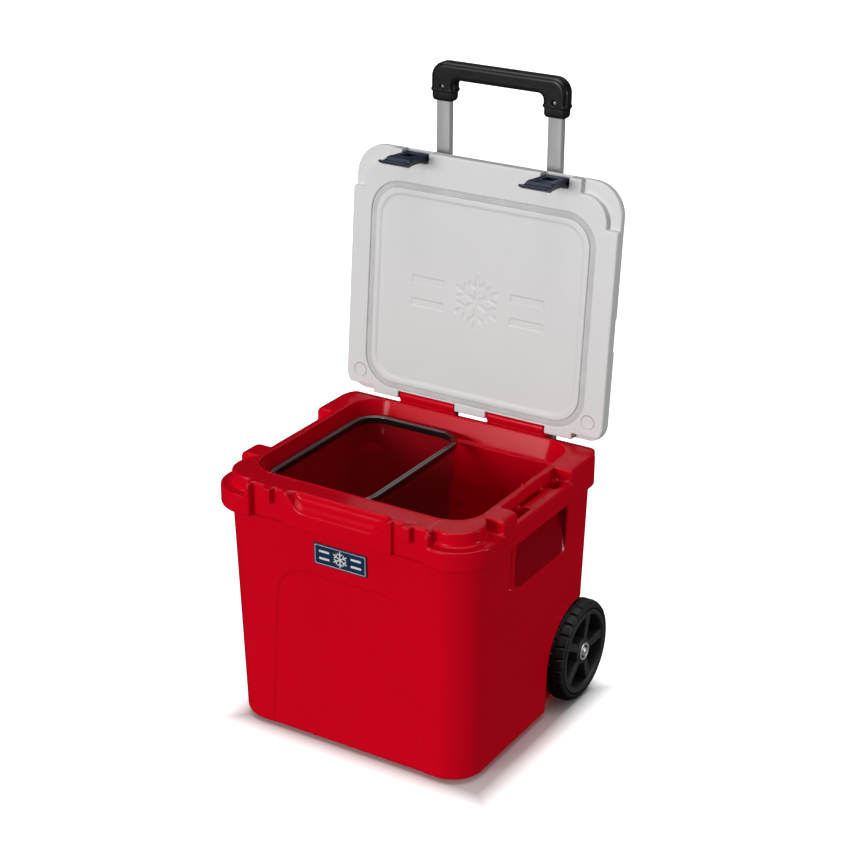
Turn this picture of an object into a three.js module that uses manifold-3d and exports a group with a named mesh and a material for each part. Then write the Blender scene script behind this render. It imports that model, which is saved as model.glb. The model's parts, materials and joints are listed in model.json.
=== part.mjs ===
// Wheeled hard cooler: insulated tub and lid, two-stage pull handle, two wheels, lift-out basket.
// Millimetres. +X is the cooler's right side seen from the front, the front faces -Y, +Z is up.
// The origin is on the ground at the middle of the bounding box. The lid stands open against its
// stop and the handle is fully out.
import * as THREE from "three";
import { mergeVertices } from "three/addons/utils/BufferGeometryUtils.js";
import Module from "manifold-3d";

const wasm = await Module();
wasm.setup();

// ---------- driving dimensions ----------
const GAP = 0.3; // between pieces that touch
const FIT = 0.4; // radial play of a pin in its bore

const BASE_Z = 6; // the tub stands on feet and wheels this far off the ground
const RIM_TOP = 458;
const RIM_BOTTOM = 400;
const SKIN = 4; // moulded wall of tub and lid

const TUB_BASE = { x: 226.7, front: -229, rear: 155 };
const TUB_TOP = { x: 236.7, front: -240, rear: 160 };
const TUB_FRONT_RADIUS = 57;
const TUB_REAR_RADIUS = 14;

const FLANGE = { x: 242, front: -246, rear: 167 };
const BLOCK_X = 250;
const BLOCK_FRONT = -259;
const CENTRE_BLOCK = { x: 103, front: -253.5 };
const CATCH_RIB = { from: 122, to: 138.5, front: -257.5, bottom: 430 };
const CORNER_BLOCK_FROM = 162;
const SIDE_BLOCK_FRONT_END = -117;
const SIDE_BLOCK_REAR = { from: 62, to: 156 };
const SIDE_LIP_TOP = RIM_TOP - 21;
const POCKET = { inner: 218, outer: 236 };
const HAND_HOLD = { front: -93, rear: 79, bottom: 304, lowerX: 232.5 };
const LIP_FLAP = { from: -58, to: 27, inner: 222, thickness: 13 }; // the lip's wide middle

const OPENING = { x: 207, front: -200, rear: 155, radius: 50 };
const LEDGE_Z = 423.5; // the step inside the opening that the basket's rim rests on
const BEAD_HEIGHT = 2;
const BEAD_WIDTH = 4;
const FLOOR_Z = 50;

const WHEEL = { y: 135.5, z: 90, radius: 90, outer: 250, inner: 211, lugs: 26 };
const WELL = { radius: 95, x: 205 };
const AXLE_RADIUS = 7;

const HINGE = { y: 170, z: 470, radius: 11, pin: 2.5, from: 32, to: 143 };
const LID_OPEN = THREE.MathUtils.degToRad(94.57);
const LID = { x: 252, front: -263, rear: 175.5, bottom: 458.6, thickness: 29.4, radius: 55 };
const GASKET = { x: 209, front: -202, rear: 154.4, width: 10, depth: 4 };

const LATCH = { x: 132, width: 48, y: -252, z: 468, pin: 2.5 };

const TUBE = { x: 105.5, y: 244.5 };
const FIXED = { w: 38.5, d: 21.5, wall: 2.2, bottom: 80, top: 394 };
const MIDDLE = { w: 33, d: 16, wall: 1.8, bottom: 367, top: 692 };
const UPPER = { w: 28, d: 11, wall: 1.5, bottom: 655, top: 1010 };
const GRIP = { x: 127, front: 231, rear: 259, top: 1049, barBottom: 1020, legBottom: 997 };
const GRIP_LEG_INNER = 84;
const COLLAR_HEIGHT = 14;

const HOUSING = { x: 131, front: 160.6, rear: 259, bottom: 71, top: 391, step: 380 };

const BASKET = { left: -197, right: 8, front: -188, rear: 139, rimTop: 436, bottom: 165 };

// ---------- materials ----------
const paint = (color, roughness, metalness = 0) =>
  new THREE.MeshStandardMaterial({ color, roughness, metalness });
const red = paint(0xb8021c, 0.35);
const white = paint(0xe2e2e2, 0.4);
const foam = paint(0xe8dfb8, 0.9);
const black = paint(0x202022, 0.5);
const rubber = paint(0x101010, 0.8);
const navy = paint(0x0c1830, 0.45);
const aluminium = paint(0xb4b4b4, 0.35, 1);
const steel = paint(0xc8c8c8, 0.25, 1);
const gasketGrey = paint(0xa4a4a4, 0.7);
const smoke = paint(0x1e2224, 0.15);

// ---------- solids ----------
function solid(geometry) {
  const plain = new THREE.BufferGeometry();
  const source = geometry.index ? geometry.toNonIndexed() : geometry;
  plain.setAttribute("position", source.getAttribute("position"));
  const merged = mergeVertices(plain, 1e-4);
  return new wasm.Manifold(
    new wasm.Mesh({
      numProp: 3,
      vertProperties: merged.attributes.position.array,
      triVerts: new Uint32Array(merged.index.array),
    }),
  );
}

// A box from its lowest to its highest corner.
function box(x0, x1, y0, y1, z0, z1) {
  const geometry = new THREE.BoxGeometry(x1 - x0, y1 - y0, z1 - z0);
  geometry.translate((x0 + x1) / 2, (y0 + y1) / 2, (z0 + z1) / 2);
  return solid(geometry);
}

// A cylinder along X about (y, z).
function rodX(x0, x1, y, z, radius, sides = 20) {
  const geometry = new THREE.CylinderGeometry(radius, radius, Math.abs(x1 - x0), sides);
  geometry.rotateZ(Math.PI / 2);
  geometry.translate((x0 + x1) / 2, y, z);
  return solid(geometry);
}

// A cylinder along Y about (x, z), or along Z about (x, y).
function rodY(x, z, y0, y1, radius, sides = 16) {
  const geometry = new THREE.CylinderGeometry(radius, radius, y1 - y0, sides);
  geometry.translate(x, (y0 + y1) / 2, z);
  return solid(geometry);
}

function rodZ(x, y, z0, z1, radius, sides = 20) {
  const geometry = new THREE.CylinderGeometry(radius, radius, z1 - z0, sides);
  geometry.rotateX(Math.PI / 2);
  geometry.translate(x, y, (z0 + z1) / 2);
  return solid(geometry);
}

// The outline of a rectangle with its own radius at the front and rear corners, anticlockwise.
function roundedOutline({ x0, x1, y0, y1, front, rear }, steps = 5) {
  const corners = [
    [x1 - front, y0 + front, front, -Math.PI / 2],
    [x1 - rear, y1 - rear, rear, 0],
    [x0 + rear, y1 - rear, rear, Math.PI / 2],
    [x0 + front, y0 + front, front, Math.PI],
  ];
  const points = [];
  for (const [cx, cy, radius, start] of corners) {
    for (let i = 0; i <= steps; i++) {
      const angle = start + ((Math.PI / 2) * i) / steps;
      points.push([cx + radius * Math.cos(angle), cy + radius * Math.sin(angle)]);
    }
  }
  return points;
}

// A closed skin through outlines of equal length, each at its own height: [[z, outline], ...] upwards.
function loft(sections) {
  const count = sections[0][1].length;
  const position = [];
  const triangle = (a, b, c) => position.push(...a, ...b, ...c);
  const rings = sections.map(([z, outline]) => outline.map(([x, y]) => [x, y, z]));
  for (let s = 0; s + 1 < rings.length; s++) {
    for (let i = 0; i < count; i++) {
      const j = (i + 1) % count;
      triangle(rings[s][i], rings[s][j], rings[s + 1][j]);
      triangle(rings[s][i], rings[s + 1][j], rings[s + 1][i]);
    }
  }
  const last = rings[rings.length - 1];
  for (let i = 1; i + 1 < count; i++) {
    triangle(rings[0][0], rings[0][i + 1], rings[0][i]);
    triangle(last[0], last[i], last[i + 1]);
  }
  const geometry = new THREE.BufferGeometry();
  geometry.setAttribute("position", new THREE.Float32BufferAttribute(position, 3));
  return solid(geometry);
}

function roundedBlock(area, z0, z1, steps = 5) {
  const outline = roundedOutline(area, steps);
  return loft([
    [z0, outline],
    [z1, outline],
  ]);
}

// A flat outline of [y, z] points given a thickness along X.
function slabX(points, x0, x1) {
  const shape = new THREE.Shape(points.map(([y, z]) => new THREE.Vector2(y, z)));
  const geometry = new THREE.ExtrudeGeometry(shape, { depth: x1 - x0, bevelEnabled: false });
  geometry.applyMatrix4(
    new THREE.Matrix4().set(0, 0, 1, x0, 1, 0, 0, 0, 0, 1, 0, 0, 0, 0, 0, 1),
  );
  return solid(geometry);
}

const mirrorX = (piece) => piece.mirror([1, 0, 0]);
const both = (piece) => piece.add(mirrorX(piece));
const sided = (piece, side) => (side < 0 ? mirrorX(piece) : piece);
const SIDES = [
  ["left", -1],
  ["right", 1],
];

function meshOf(name, piece, material) {
  const { vertProperties, triVerts } = piece.getMesh();
  const geometry = new THREE.BufferGeometry();
  geometry.setAttribute("position", new THREE.Float32BufferAttribute(vertProperties, 3));
  geometry.setIndex(new THREE.Uint32BufferAttribute(triVerts, 1));
  const mesh = new THREE.Mesh(geometry, material);
  mesh.name = name;
  return mesh;
}

const cooler = new THREE.Group();
const put = (name, piece, material, group = cooler) => group.add(meshOf(name, piece, material));

// ---------- tub ----------
// The outer form, drawn in by inset all round.
function tubOuter(inset, z0, z1) {
  const section = (z) => {
    const t = (z - BASE_Z) / (RIM_BOTTOM - BASE_Z);
    const at = (key) => TUB_BASE[key] + t * (TUB_TOP[key] - TUB_BASE[key]);
    return roundedOutline({
      x0: -at("x") + inset,
      x1: at("x") - inset,
      y0: at("front") + inset,
      y1: at("rear") - inset,
      front: TUB_FRONT_RADIUS - inset,
      rear: TUB_REAR_RADIUS - Math.min(inset, 10),
    });
  };
  return loft([
    [z0, section(z0)],
    [z1, section(z1)],
  ]);
}

// The inside of the tub, grown by outset all round.
function tubInner(outset) {
  const section = (x, front, rear, radius) =>
    roundedOutline({
      x0: -x - outset,
      x1: x + outset,
      y0: front - outset,
      y1: rear + outset,
      front: radius + outset,
      rear: radius + outset,
    });
  const { x, front, rear, radius } = OPENING;
  return loft([
    [FLOOR_Z - outset, section(x - 36, front + 30, rear - 40, radius - 16)],
    [FLOOR_Z + 12 - outset, section(x - 26, front + 22, rear - 30, radius - 10)],
    [LEDGE_Z - 0.2 - outset, section(x - 12, front + 14, rear - 18.5, radius - 5)],
    [LEDGE_Z - outset, section(x - 6, front + 6.5, rear - 10, radius - 3)],
    [RIM_TOP, section(x, front, rear, radius)],
    [RIM_TOP + 20, section(x, front, rear, radius)],
  ]);
}

// Both wheel wells, grown by outset: round over the wheel, straight down in front of it.
function wheelWells(outset) {
  const radius = WELL.radius + outset;
  const outer = BLOCK_X + 20;
  const round = rodX(WELL.x - outset, outer, WHEEL.y, WHEEL.z, radius, 40);
  const below = box(WELL.x - outset, outer, WHEEL.y - radius, 300, -20, WHEEL.z);
  const behind = box(WELL.x - outset, outer, WHEEL.y, 300, -20, WHEEL.z + radius);
  return both(round.add(below).add(behind));
}

// The hand-hold in each side: a recess that deepens upwards, and runs up behind the side lip.
function handHolds(outset) {
  const { front, rear, bottom, lowerX } = HAND_HOLD;
  const section = (x) => [
    [x - outset, front - outset],
    [262, front - outset],
    [262, rear + outset],
    [x - outset, rear + outset],
  ];
  const recess = loft([
    [bottom - outset, section(lowerX)],
    [SIDE_LIP_TOP - 37 + outset, section(POCKET.inner)],
  ]);
  const slotTo = (outer, y0, y1, z1) =>
    box(
      POCKET.inner - outset,
      outer + outset,
      y0 - outset,
      y1 + outset,
      SIDE_LIP_TOP - 45 - outset,
      z1,
    );
  const ends = [SIDE_BLOCK_FRONT_END + 2, SIDE_BLOCK_REAR.from - 2];
  const { from, to, inner, thickness } = LIP_FLAP;
  return both(
    recess
      .add(slotTo(POCKET.outer, ends[0], ends[1], SIDE_LIP_TOP - thickness))
      .add(slotTo(POCKET.outer, ends[0], from, RIM_TOP + 20))
      .add(slotTo(inner, from - 1, to + 1, RIM_TOP + 20))
      .add(slotTo(POCKET.outer, to, ends[1], RIM_TOP + 20)),
  );
}

function rim() {
  const { x, front, rear } = FLANGE;
  const flangeArea = { x0: -x, x1: x, y0: front, y1: rear, front: 60, rear: 12 };
  let body = roundedBlock(flangeArea, RIM_BOTTOM, RIM_TOP);
  const underside = roundedOutline({
    x0: -TUB_TOP.x,
    x1: TUB_TOP.x,
    y0: TUB_TOP.front,
    y1: TUB_TOP.rear,
    front: TUB_FRONT_RADIUS,
    rear: TUB_REAR_RADIUS,
  });
  body = body.add(
    loft([
      [RIM_BOTTOM - 8, underside],
      [RIM_BOTTOM, roundedOutline(flangeArea)],
    ]),
  );
  // The outer blocks: one wrapping each front corner, one at each side's rear, with the lip between.
  const blockArea = { x0: -BLOCK_X, x1: BLOCK_X, y0: BLOCK_FRONT, y1: 163, front: 64, rear: 10 };
  const blocks = roundedBlock(blockArea, RIM_BOTTOM, RIM_TOP, 7);
  const frontCorner = blocks.intersect(
    box(CORNER_BLOCK_FROM, 300, -300, SIDE_BLOCK_FRONT_END, 0, RIM_TOP),
  );
  const rearBlock = blocks.intersect(
    box(FLANGE.x - 30, 300, SIDE_BLOCK_REAR.from, SIDE_BLOCK_REAR.to, 0, RIM_TOP),
  );
  const lip = blocks.intersect(
    box(
      FLANGE.x - 30,
      300,
      SIDE_BLOCK_FRONT_END - 1,
      SIDE_BLOCK_REAR.from + 1,
      SIDE_LIP_TOP - 37,
      SIDE_LIP_TOP,
    ),
  );
  // The tie-down shelf is a quarter ring cut out of each front corner block.
  const shelfCentre = [BLOCK_X - 64, BLOCK_FRONT + 64];
  const shelf = rodZ(...shelfCentre, RIM_TOP - 23, RIM_TOP + 5, 80, 40)
    .subtract(rodZ(...shelfCentre, RIM_TOP - 24, RIM_TOP + 6, 45, 28))
    .intersect(box(172, 300, -300, -158, 0, 500));
  const centre = box(-CENTRE_BLOCK.x, CENTRE_BLOCK.x, CENTRE_BLOCK.front, front + 1, 400, RIM_TOP);
  const bowl = slabX(
    [
      [CENTRE_BLOCK.front - 2, RIM_TOP + 2],
      [CENTRE_BLOCK.front - 2, RIM_TOP - 28],
      [CENTRE_BLOCK.front + 5, RIM_TOP - 28],
      [CENTRE_BLOCK.front + 15, RIM_TOP - 14],
      [CENTRE_BLOCK.front + 17, RIM_TOP + 2],
    ],
    -72,
    72,
  );
  const rib = box(
    CATCH_RIB.from,
    CATCH_RIB.to,
    CATCH_RIB.front,
    front + 1,
    CATCH_RIB.bottom,
    RIM_TOP,
  );
  const sideCut = box(
    POCKET.inner,
    FLANGE.x + 1,
    SIDE_BLOCK_FRONT_END,
    SIDE_BLOCK_REAR.from,
    SIDE_LIP_TOP,
    RIM_TOP + 5,
  );
  return body
    .subtract(both(sideCut))
    .add(both(frontCorner.subtract(shelf).add(rearBlock).add(lip).add(rib)))
    .add(centre)
    .subtract(bowl);
}

function openingBead() {
  const ring = (outset) =>
    roundedBlock(
      {
        x0: -OPENING.x - outset,
        x1: OPENING.x + outset,
        y0: OPENING.front - outset,
        y1: OPENING.rear + outset,
        front: OPENING.radius + outset,
        rear: OPENING.radius + outset,
      },
      RIM_TOP - 5,
      RIM_TOP + BEAD_HEIGHT,
    );
  return ring(BEAD_WIDTH).subtract(ring(0));
}

// The knuckle is a round nose on a web that grows out of the rim's rear edge.
function hingeKnuckle() {
  const { y, z, radius, from, to } = HINGE;
  const web = slabX(
    [
      [y - 6.3, z],
      [y - 6.3, RIM_TOP - 10],
      [y - 4, RIM_TOP - 42],
      [y + radius - 2, z - 16],
      [y + radius, z],
    ],
    from,
    to,
  );
  return rodX(from, to, y, z, radius, 24).add(web);
}

const fillHole = { x: 0, y: -40, radius: 15 };

// The bore in each well that takes the stub axle, grown by outset.
function axleBores(outset) {
  const radius = AXLE_RADIUS + FIT + outset;
  return both(rodX(WELL.x - 15 - outset, WELL.x + 5, WHEEL.y, WHEEL.z, radius));
}

function tubWallCavity(gap) {
  return tubOuter(SKIN + gap, BASE_Z + SKIN + gap, RIM_BOTTOM + 10)
    .subtract(tubInner(SKIN + gap))
    .subtract(wheelWells(SKIN + gap))
    .subtract(handHolds(SKIN + gap))
    .subtract(axleBores(SKIN + gap));
}

function tubShell() {
  const baseRounding = tubOuter(5, BASE_Z, BASE_Z + 3);
  return tubOuter(0, BASE_Z + 3, RIM_BOTTOM)
    .add(baseRounding)
    .add(rim())
    .add(openingBead())
    .add(both(hingeKnuckle()))
    .subtract(both(rodX(0, 200, HINGE.y, HINGE.z, HINGE.pin + FIT, 12)))
    .subtract(tubInner(0))
    .subtract(wheelWells(0))
    .subtract(handHolds(0))
    .subtract(tubWallCavity(0))
    .subtract(axleBores(0))
    .subtract(rodZ(fillHole.x, fillHole.y, 0, BASE_Z + SKIN + 2, fillHole.radius));
}

put("tub_shell", tubShell(), red);
put("tub_foam", tubWallCavity(GAP), foam);
put(
  "tub_fill_plug",
  rodZ(fillHole.x, fillHole.y, BASE_Z, BASE_Z + SKIN, fillHole.radius - GAP),
  black,
);

const BADGE = { x: 50, bottom: 342, top: 380, tilt: 11 / 394 };
const badgeFace = -228.8 - (361 - BASE_Z) * BADGE.tilt;
put("badge_plate", box(-BADGE.x, BADGE.x, badgeFace - 3, badgeFace - 0.9, BADGE.bottom, BADGE.top), navy);

for (const [side, sign] of SIDES) {
  const area = { x0: 115, x1: 185, y0: -205, y1: -165, front: 10, rear: 10 };
  put(`front_foot_${side}`, sided(roundedBlock(area, 0, BASE_Z - GAP, 3), sign), rubber);
}

// ---------- wheels ----------
function wheelPart(profile, sides) {
  const points = profile.map(([x, radius]) => new THREE.Vector2(radius, x));
  const geometry = new THREE.LatheGeometry(points, sides);
  geometry.rotateX(Math.PI / 2);
  geometry.rotateY(Math.PI / 2);
  geometry.translate(0, WHEEL.y, WHEEL.z);
  return solid(geometry);
}

function tyre() {
  const { inner, outer, radius, lugs } = WHEEL;
  const body = wheelPart(
    [
      [inner, 76.3],
      [inner, 80],
      [inner + 8, radius - 2],
      [outer - 8, radius - 2],
      [outer - 1, 80],
      [outer - 1, 76.3],
      [inner, 76.3],
    ],
    lugs * 2,
  );
  const shape = new THREE.Shape();
  for (let i = 0; i < lugs * 4; i++) {
    const angle = (Math.PI * 2 * (i + 0.5)) / (lugs * 4);
    const r = i % 4 < 2 ? radius : radius - 4;
    const [y, z] = [r * Math.cos(angle), r * Math.sin(angle)];
    if (i === 0) shape.moveTo(y, z);
    else shape.lineTo(y, z);
  }
  shape.closePath();
  const hole = new THREE.Path();
  hole.absarc(0, 0, 82, 0, Math.PI * 2, true);
  shape.holes.push(hole);
  const lugRing = new THREE.ExtrudeGeometry(shape, {
    depth: outer - inner - 18,
    bevelEnabled: false,
    curveSegments: 20,
  });
  lugRing.applyMatrix4(
    new THREE.Matrix4().set(0, 0, 1, inner + 9, 1, 0, 0, WHEEL.y, 0, 1, 0, WHEEL.z, 0, 0, 0, 1),
  );
  return body.add(solid(lugRing));
}

function wheelDisc() {
  const { inner, outer } = WHEEL;
  const bore = 11;
  const disc = wheelPart(
    [
      [inner + 3, bore],
      [inner + 3, 17],
      [inner + 15, 20],
      [inner + 15, 70],
      [inner + 3, 72],
      [inner + 3, 76],
      [outer, 74.4],
      [outer, 68],
      [outer - 5, 66],
      [outer - 5, 20],
      [outer - 3, 17],
      [outer - 3, bore],
      [inner + 3, bore],
    ],
    40,
  );
  // Five windows between the spokes, pressed in from the outer face.
  let result = disc;
  for (let i = 0; i < 5; i++) {
    const shape = new THREE.Shape();
    const half = Math.PI / 5;
    const start = half * 0.24;
    const end = half * 1.76;
    const [rOut, rIn] = [63, 25];
    for (let k = 0; k <= 6; k++) {
      const a = start + ((end - start) * k) / 6;
      shape[k ? "lineTo" : "moveTo"](rOut * Math.cos(a), rOut * Math.sin(a));
    }
    shape.lineTo(rIn * Math.cos(half * 1.3), rIn * Math.sin(half * 1.3));
    shape.lineTo(rIn * Math.cos(half * 0.7), rIn * Math.sin(half * 0.7));
    shape.closePath();
    const cut = new THREE.ExtrudeGeometry(shape, { depth: 30, bevelEnabled: false });
    cut.rotateZ((i * Math.PI * 2) / 5);
    cut.applyMatrix4(
      new THREE.Matrix4().set(0, 0, 1, outer - 17, 1, 0, 0, WHEEL.y, 0, 1, 0, WHEEL.z, 0, 0, 0, 1),
    );
    result = result.subtract(solid(cut));
  }
  return result;
}

function axlePlate() {
  const { y, z } = WHEEL;
  const plate = box(WELL.x + GAP, WELL.x + 5 + GAP, y - 38, y + 20, z - 34, z + 34);
  return plate.subtract(rodX(190, 220, y, z, AXLE_RADIUS + GAP, 20));
}

for (const [side, sign] of SIDES) {
  const { y, z, inner, outer } = WHEEL;
  put(`tyre_${side}`, sided(tyre(), sign), rubber);
  put(`wheel_disc_${side}`, sided(wheelDisc(), sign), black);
  const bushing = rodX(inner + 3, outer - 3, y, z, 11 - GAP, 24).subtract(
    rodX(200, 260, y, z, AXLE_RADIUS + FIT, 20),
  );
  put(`wheel_bushing_${side}`, sided(bushing, sign), black);
  const ring = rodX(outer - 3 + GAP, outer - 0.2, y, z, 16, 28).subtract(
    rodX(200, 260, y, z, 11.5, 24),
  );
  put(`hub_ring_${side}`, sided(ring, sign), steel);
  put(`axle_plate_${side}`, sided(axlePlate(), sign), steel);
  const stub = rodX(WELL.x - 14, outer - 3, y, z, AXLE_RADIUS, 20);
  put(`axle_stub_${side}`, sided(stub, sign), steel);
  const nut = rodX(outer - 3 + GAP, outer, y, z, 9, 6);
  put(`axle_end_cap_${side}`, sided(nut, sign), steel);
}

// ---------- handle ----------
function tube({ w, d, wall, bottom, top }, sign) {
  const area = (inset) => ({
    x0: sign * TUBE.x - w / 2 + inset,
    x1: sign * TUBE.x + w / 2 - inset,
    y0: TUBE.y - d / 2 + inset,
    y1: TUBE.y + d / 2 - inset,
    front: 3 - inset / 2,
    rear: 3 - inset / 2,
  });
  return roundedBlock(area(0), bottom, top, 2).subtract(
    roundedBlock(area(wall), bottom - 1, top + 1, 2),
  );
}

function handleHousing() {
  const { x, front, rear, bottom, top } = HOUSING;
  const area = { x0: -x, x1: x, y0: front, y1: rear, front: 4, rear: 7 };
  const channel = box(-78, 78, front + 24, rear + 5, bottom - 5, top + 5);
  const hollow = box(TUBE.x - 22, TUBE.x + 22, front - 5, rear - 3.4, bottom + 8, HOUSING.step - 6);
  const backHollow = box(-70, 70, front - 5, front + 19, bottom + 8, HOUSING.step - 6);
  const bore = box(
    TUBE.x - FIXED.w / 2 - GAP,
    TUBE.x + FIXED.w / 2 + GAP,
    TUBE.y - FIXED.d / 2 - GAP,
    TUBE.y + FIXED.d / 2 + GAP,
    HOUSING.step - 10,
    top + 5,
  );
  const underRim = box(-300, 300, front - 5, front + 26, HOUSING.step, top + 5);
  return roundedBlock(area, bottom, top, 4)
    .subtract(channel)
    .subtract(underRim)
    .subtract(both(hollow))
    .subtract(backHollow)
    .subtract(both(bore));
}

put("handle_housing", handleHousing(), black);

const LOCK = { height: 6, width: 4.4, reach: 1.9 };
const lockZ = UPPER.bottom + 16;

// A slot that lets the lock pin pass along a tube's outer side.
function lockSlot(sign, z0, z1) {
  const x0 = TUBE.x + 8;
  return sided(box(x0, TUBE.x + 30, TUBE.y - 2.6, TUBE.y + 2.6, z0, z1), sign);
}

for (const [side, sign] of SIDES) {
  put(`fixed_tube_${side}`, tube(FIXED, sign), aluminium);
  const middle = tube(MIDDLE, sign).subtract(
    lockSlot(sign, MIDDLE.bottom + 6, lockZ + LOCK.height),
  );
  put(`middle_tube_${side}`, middle, aluminium);
  const upper = tube(UPPER, sign).subtract(
    lockSlot(sign, lockZ - LOCK.height / 2 - 0.4, lockZ + LOCK.height / 2 + 0.4),
  );
  put(`upper_tube_${side}`, upper, aluminium);
  const collarArea = (w, d) => ({
    x0: sign * TUBE.x - w / 2,
    x1: sign * TUBE.x + w / 2,
    y0: TUBE.y - d / 2,
    y1: TUBE.y + d / 2,
    front: 3,
    rear: 3,
  });
  const middleCollar = roundedBlock(
    collarArea(MIDDLE.w + 6, MIDDLE.d + 6),
    MIDDLE.top - 10,
    MIDDLE.top + 3,
    2,
  )
    .subtract(roundedBlock(collarArea(MIDDLE.w + 0.6, MIDDLE.d + 0.6), 600, MIDDLE.top + GAP, 2))
    .subtract(roundedBlock(collarArea(UPPER.w + 1, UPPER.d + 1), 600, 800, 2));
  put(`middle_collar_${side}`, middleCollar, black);
}

// The grip is a moulded arch in a front and a rear half, on a collar at each leg.
function gripArch(y0, y1) {
  const shape = new THREE.Shape();
  const { x, top, barBottom, legBottom } = GRIP;
  const radius = 26;
  shape.moveTo(-x, legBottom);
  shape.lineTo(-GRIP_LEG_INNER, legBottom);
  shape.lineTo(-GRIP_LEG_INNER, barBottom - 10);
  shape.quadraticCurveTo(-GRIP_LEG_INNER, barBottom, -GRIP_LEG_INNER + 10, barBottom);
  shape.lineTo(GRIP_LEG_INNER - 10, barBottom);
  shape.quadraticCurveTo(GRIP_LEG_INNER, barBottom, GRIP_LEG_INNER, barBottom - 10);
  shape.lineTo(GRIP_LEG_INNER, legBottom);
  shape.lineTo(x, legBottom);
  shape.lineTo(x, top - radius);
  shape.absarc(x - radius, top - radius, radius, 0, Math.PI / 2, false);
  shape.absarc(-x + radius, top - radius, radius, Math.PI / 2, Math.PI, false);
  shape.closePath();
  const geometry = new THREE.ExtrudeGeometry(shape, {
    depth: y1 - y0,
    bevelEnabled: false,
    curveSegments: 6,
  });
  geometry.rotateX(Math.PI / 2);
  geometry.translate(0, y1, 0);
  return solid(geometry);
}

const BUTTON = { x: 26, y: 7, top: GRIP.top, bottom: 1014 };

// Space in the grip for the tubes, the release button and its cross bar.
function gripSpace(gap) {
  const shaft = box(
    TUBE.x - UPPER.w / 2 - gap,
    TUBE.x + UPPER.w / 2 + gap,
    TUBE.y - UPPER.d / 2 - gap,
    TUBE.y + UPPER.d / 2 + gap,
    900,
    UPPER.top + 26,
  );
  const bar = box(-TUBE.x, TUBE.x, TUBE.y - 4.5, TUBE.y + 4.5, 1023, UPPER.top + 26);
  const button = box(-BUTTON.x - 0.5, BUTTON.x + 0.5, TUBE.y - 7.5, TUBE.y + 7.5, 1023, 1060);
  return both(shaft).add(bar).add(button);
}

const screwZ = 1004;
for (const [name, y0, y1] of [
  ["grip_front_shell", GRIP.front, TUBE.y - GAP / 2],
  ["grip_rear_shell", TUBE.y + GAP / 2, GRIP.rear],
]) {
  const half = gripArch(y0, y1)
    .subtract(gripSpace(GAP))
    .subtract(both(rodY(TUBE.x, screwZ, 225, 236, 4 + GAP)));
  put(name, half, black);
}

for (const [side, sign] of SIDES) {
  const collarArea = (w, d) => ({
    x0: sign * TUBE.x - w / 2,
    x1: sign * TUBE.x + w / 2,
    y0: TUBE.y - d / 2,
    y1: TUBE.y + d / 2,
    front: 4,
    rear: 4,
  });
  const bottom = GRIP.legBottom - COLLAR_HEIGHT;
  const collar = roundedBlock(collarArea(45, 29), bottom, GRIP.legBottom - GAP, 2).subtract(
    roundedBlock(collarArea(UPPER.w + 0.6, UPPER.d + 0.6), bottom - 5, 1100, 2),
  );
  put(`grip_collar_${side}`, collar, black);
  put(`grip_screw_${side}`, rodY(sign * TUBE.x, screwZ, 231.4, 235.7, 4, 12), steel);
}

// The release button presses a cross bar and a rod down each upper tube. The foot of each rod is a
// 45 degree wedge that holds the lock pin out, and lets it in as the rod goes down.
const ROD = { inner: 11.5, outer: 7.5, depth: 4 };
const buttonCap = box(-BUTTON.x, BUTTON.x, TUBE.y - 7, TUBE.y + 7, 1030, GRIP.top + 0.1);
const crossBar = box(-TUBE.x - 4, TUBE.x + 4, TUBE.y - 4, TUBE.y + 4, 1028, 1034);
put("release_button", buttonCap.add(crossBar), black);

// A flat outline of [x, z] points given a thickness about the tubes' middle plane.
function slabY(points, thickness) {
  const shape = new THREE.Shape(points.map(([x, z]) => new THREE.Vector2(x, z)));
  const geometry = new THREE.ExtrudeGeometry(shape, { depth: thickness, bevelEnabled: false });
  geometry.rotateX(Math.PI / 2);
  geometry.translate(0, TUBE.y + thickness / 2, 0);
  return solid(geometry);
}

for (const [side, sign] of SIDES) {
  const x = TUBE.x;
  const rod = slabY(
    [
      [x - ROD.inner, lockZ - 8],
      [x + 5, lockZ - 8],
      [x + 5, lockZ - 4],
      [x - ROD.outer, lockZ + 8.5],
      [x - ROD.outer, 1028 - GAP],
      [x - ROD.inner, 1028 - GAP],
    ],
    ROD.depth,
  );
  put(`release_rod_${side}`, sided(rod, sign), steel);
  const half = LOCK.height / 2;
  const tail = x + 1 + 2 * GAP;
  const tip = x + UPPER.w / 2 + LOCK.reach;
  const pin = slabY(
    [
      [tail + half, lockZ - half],
      [tip, lockZ - half],
      [tip, lockZ + half],
      [tail - half, lockZ + half],
    ],
    LOCK.width,
  );
  put(`lock_pin_${side}`, sided(pin, sign), steel);
}

// ---------- lid, drawn closed and turned open about its hinge ----------
const lidGroup = new THREE.Group();
lidGroup.position.set(0, HINGE.y, HINGE.z);
lidGroup.rotation.x = -LID_OPEN;
const lidFrame = new THREE.Group();
lidFrame.position.set(0, -HINGE.y, -HINGE.z);
lidGroup.add(lidFrame);
cooler.add(lidGroup);

function lidOutline(inset) {
  return roundedOutline(
    {
      x0: -LID.x + inset,
      x1: LID.x - inset,
      y0: LID.front + inset,
      y1: LID.rear - inset,
      front: LID.radius - inset,
      rear: 32 - inset,
    },
    6,
  );
}

function gasketRing(width, z0, z1) {
  const ring = (outset) =>
    roundedBlock(
      {
        x0: -GASKET.x - outset,
        x1: GASKET.x + outset,
        y0: GASKET.front - outset,
        y1: GASKET.rear + outset,
        front: 52 + outset,
        rear: 52 + outset,
      },
      z0,
      z1,
    );
  return ring(width / 2).subtract(ring(-width / 2));
}

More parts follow.
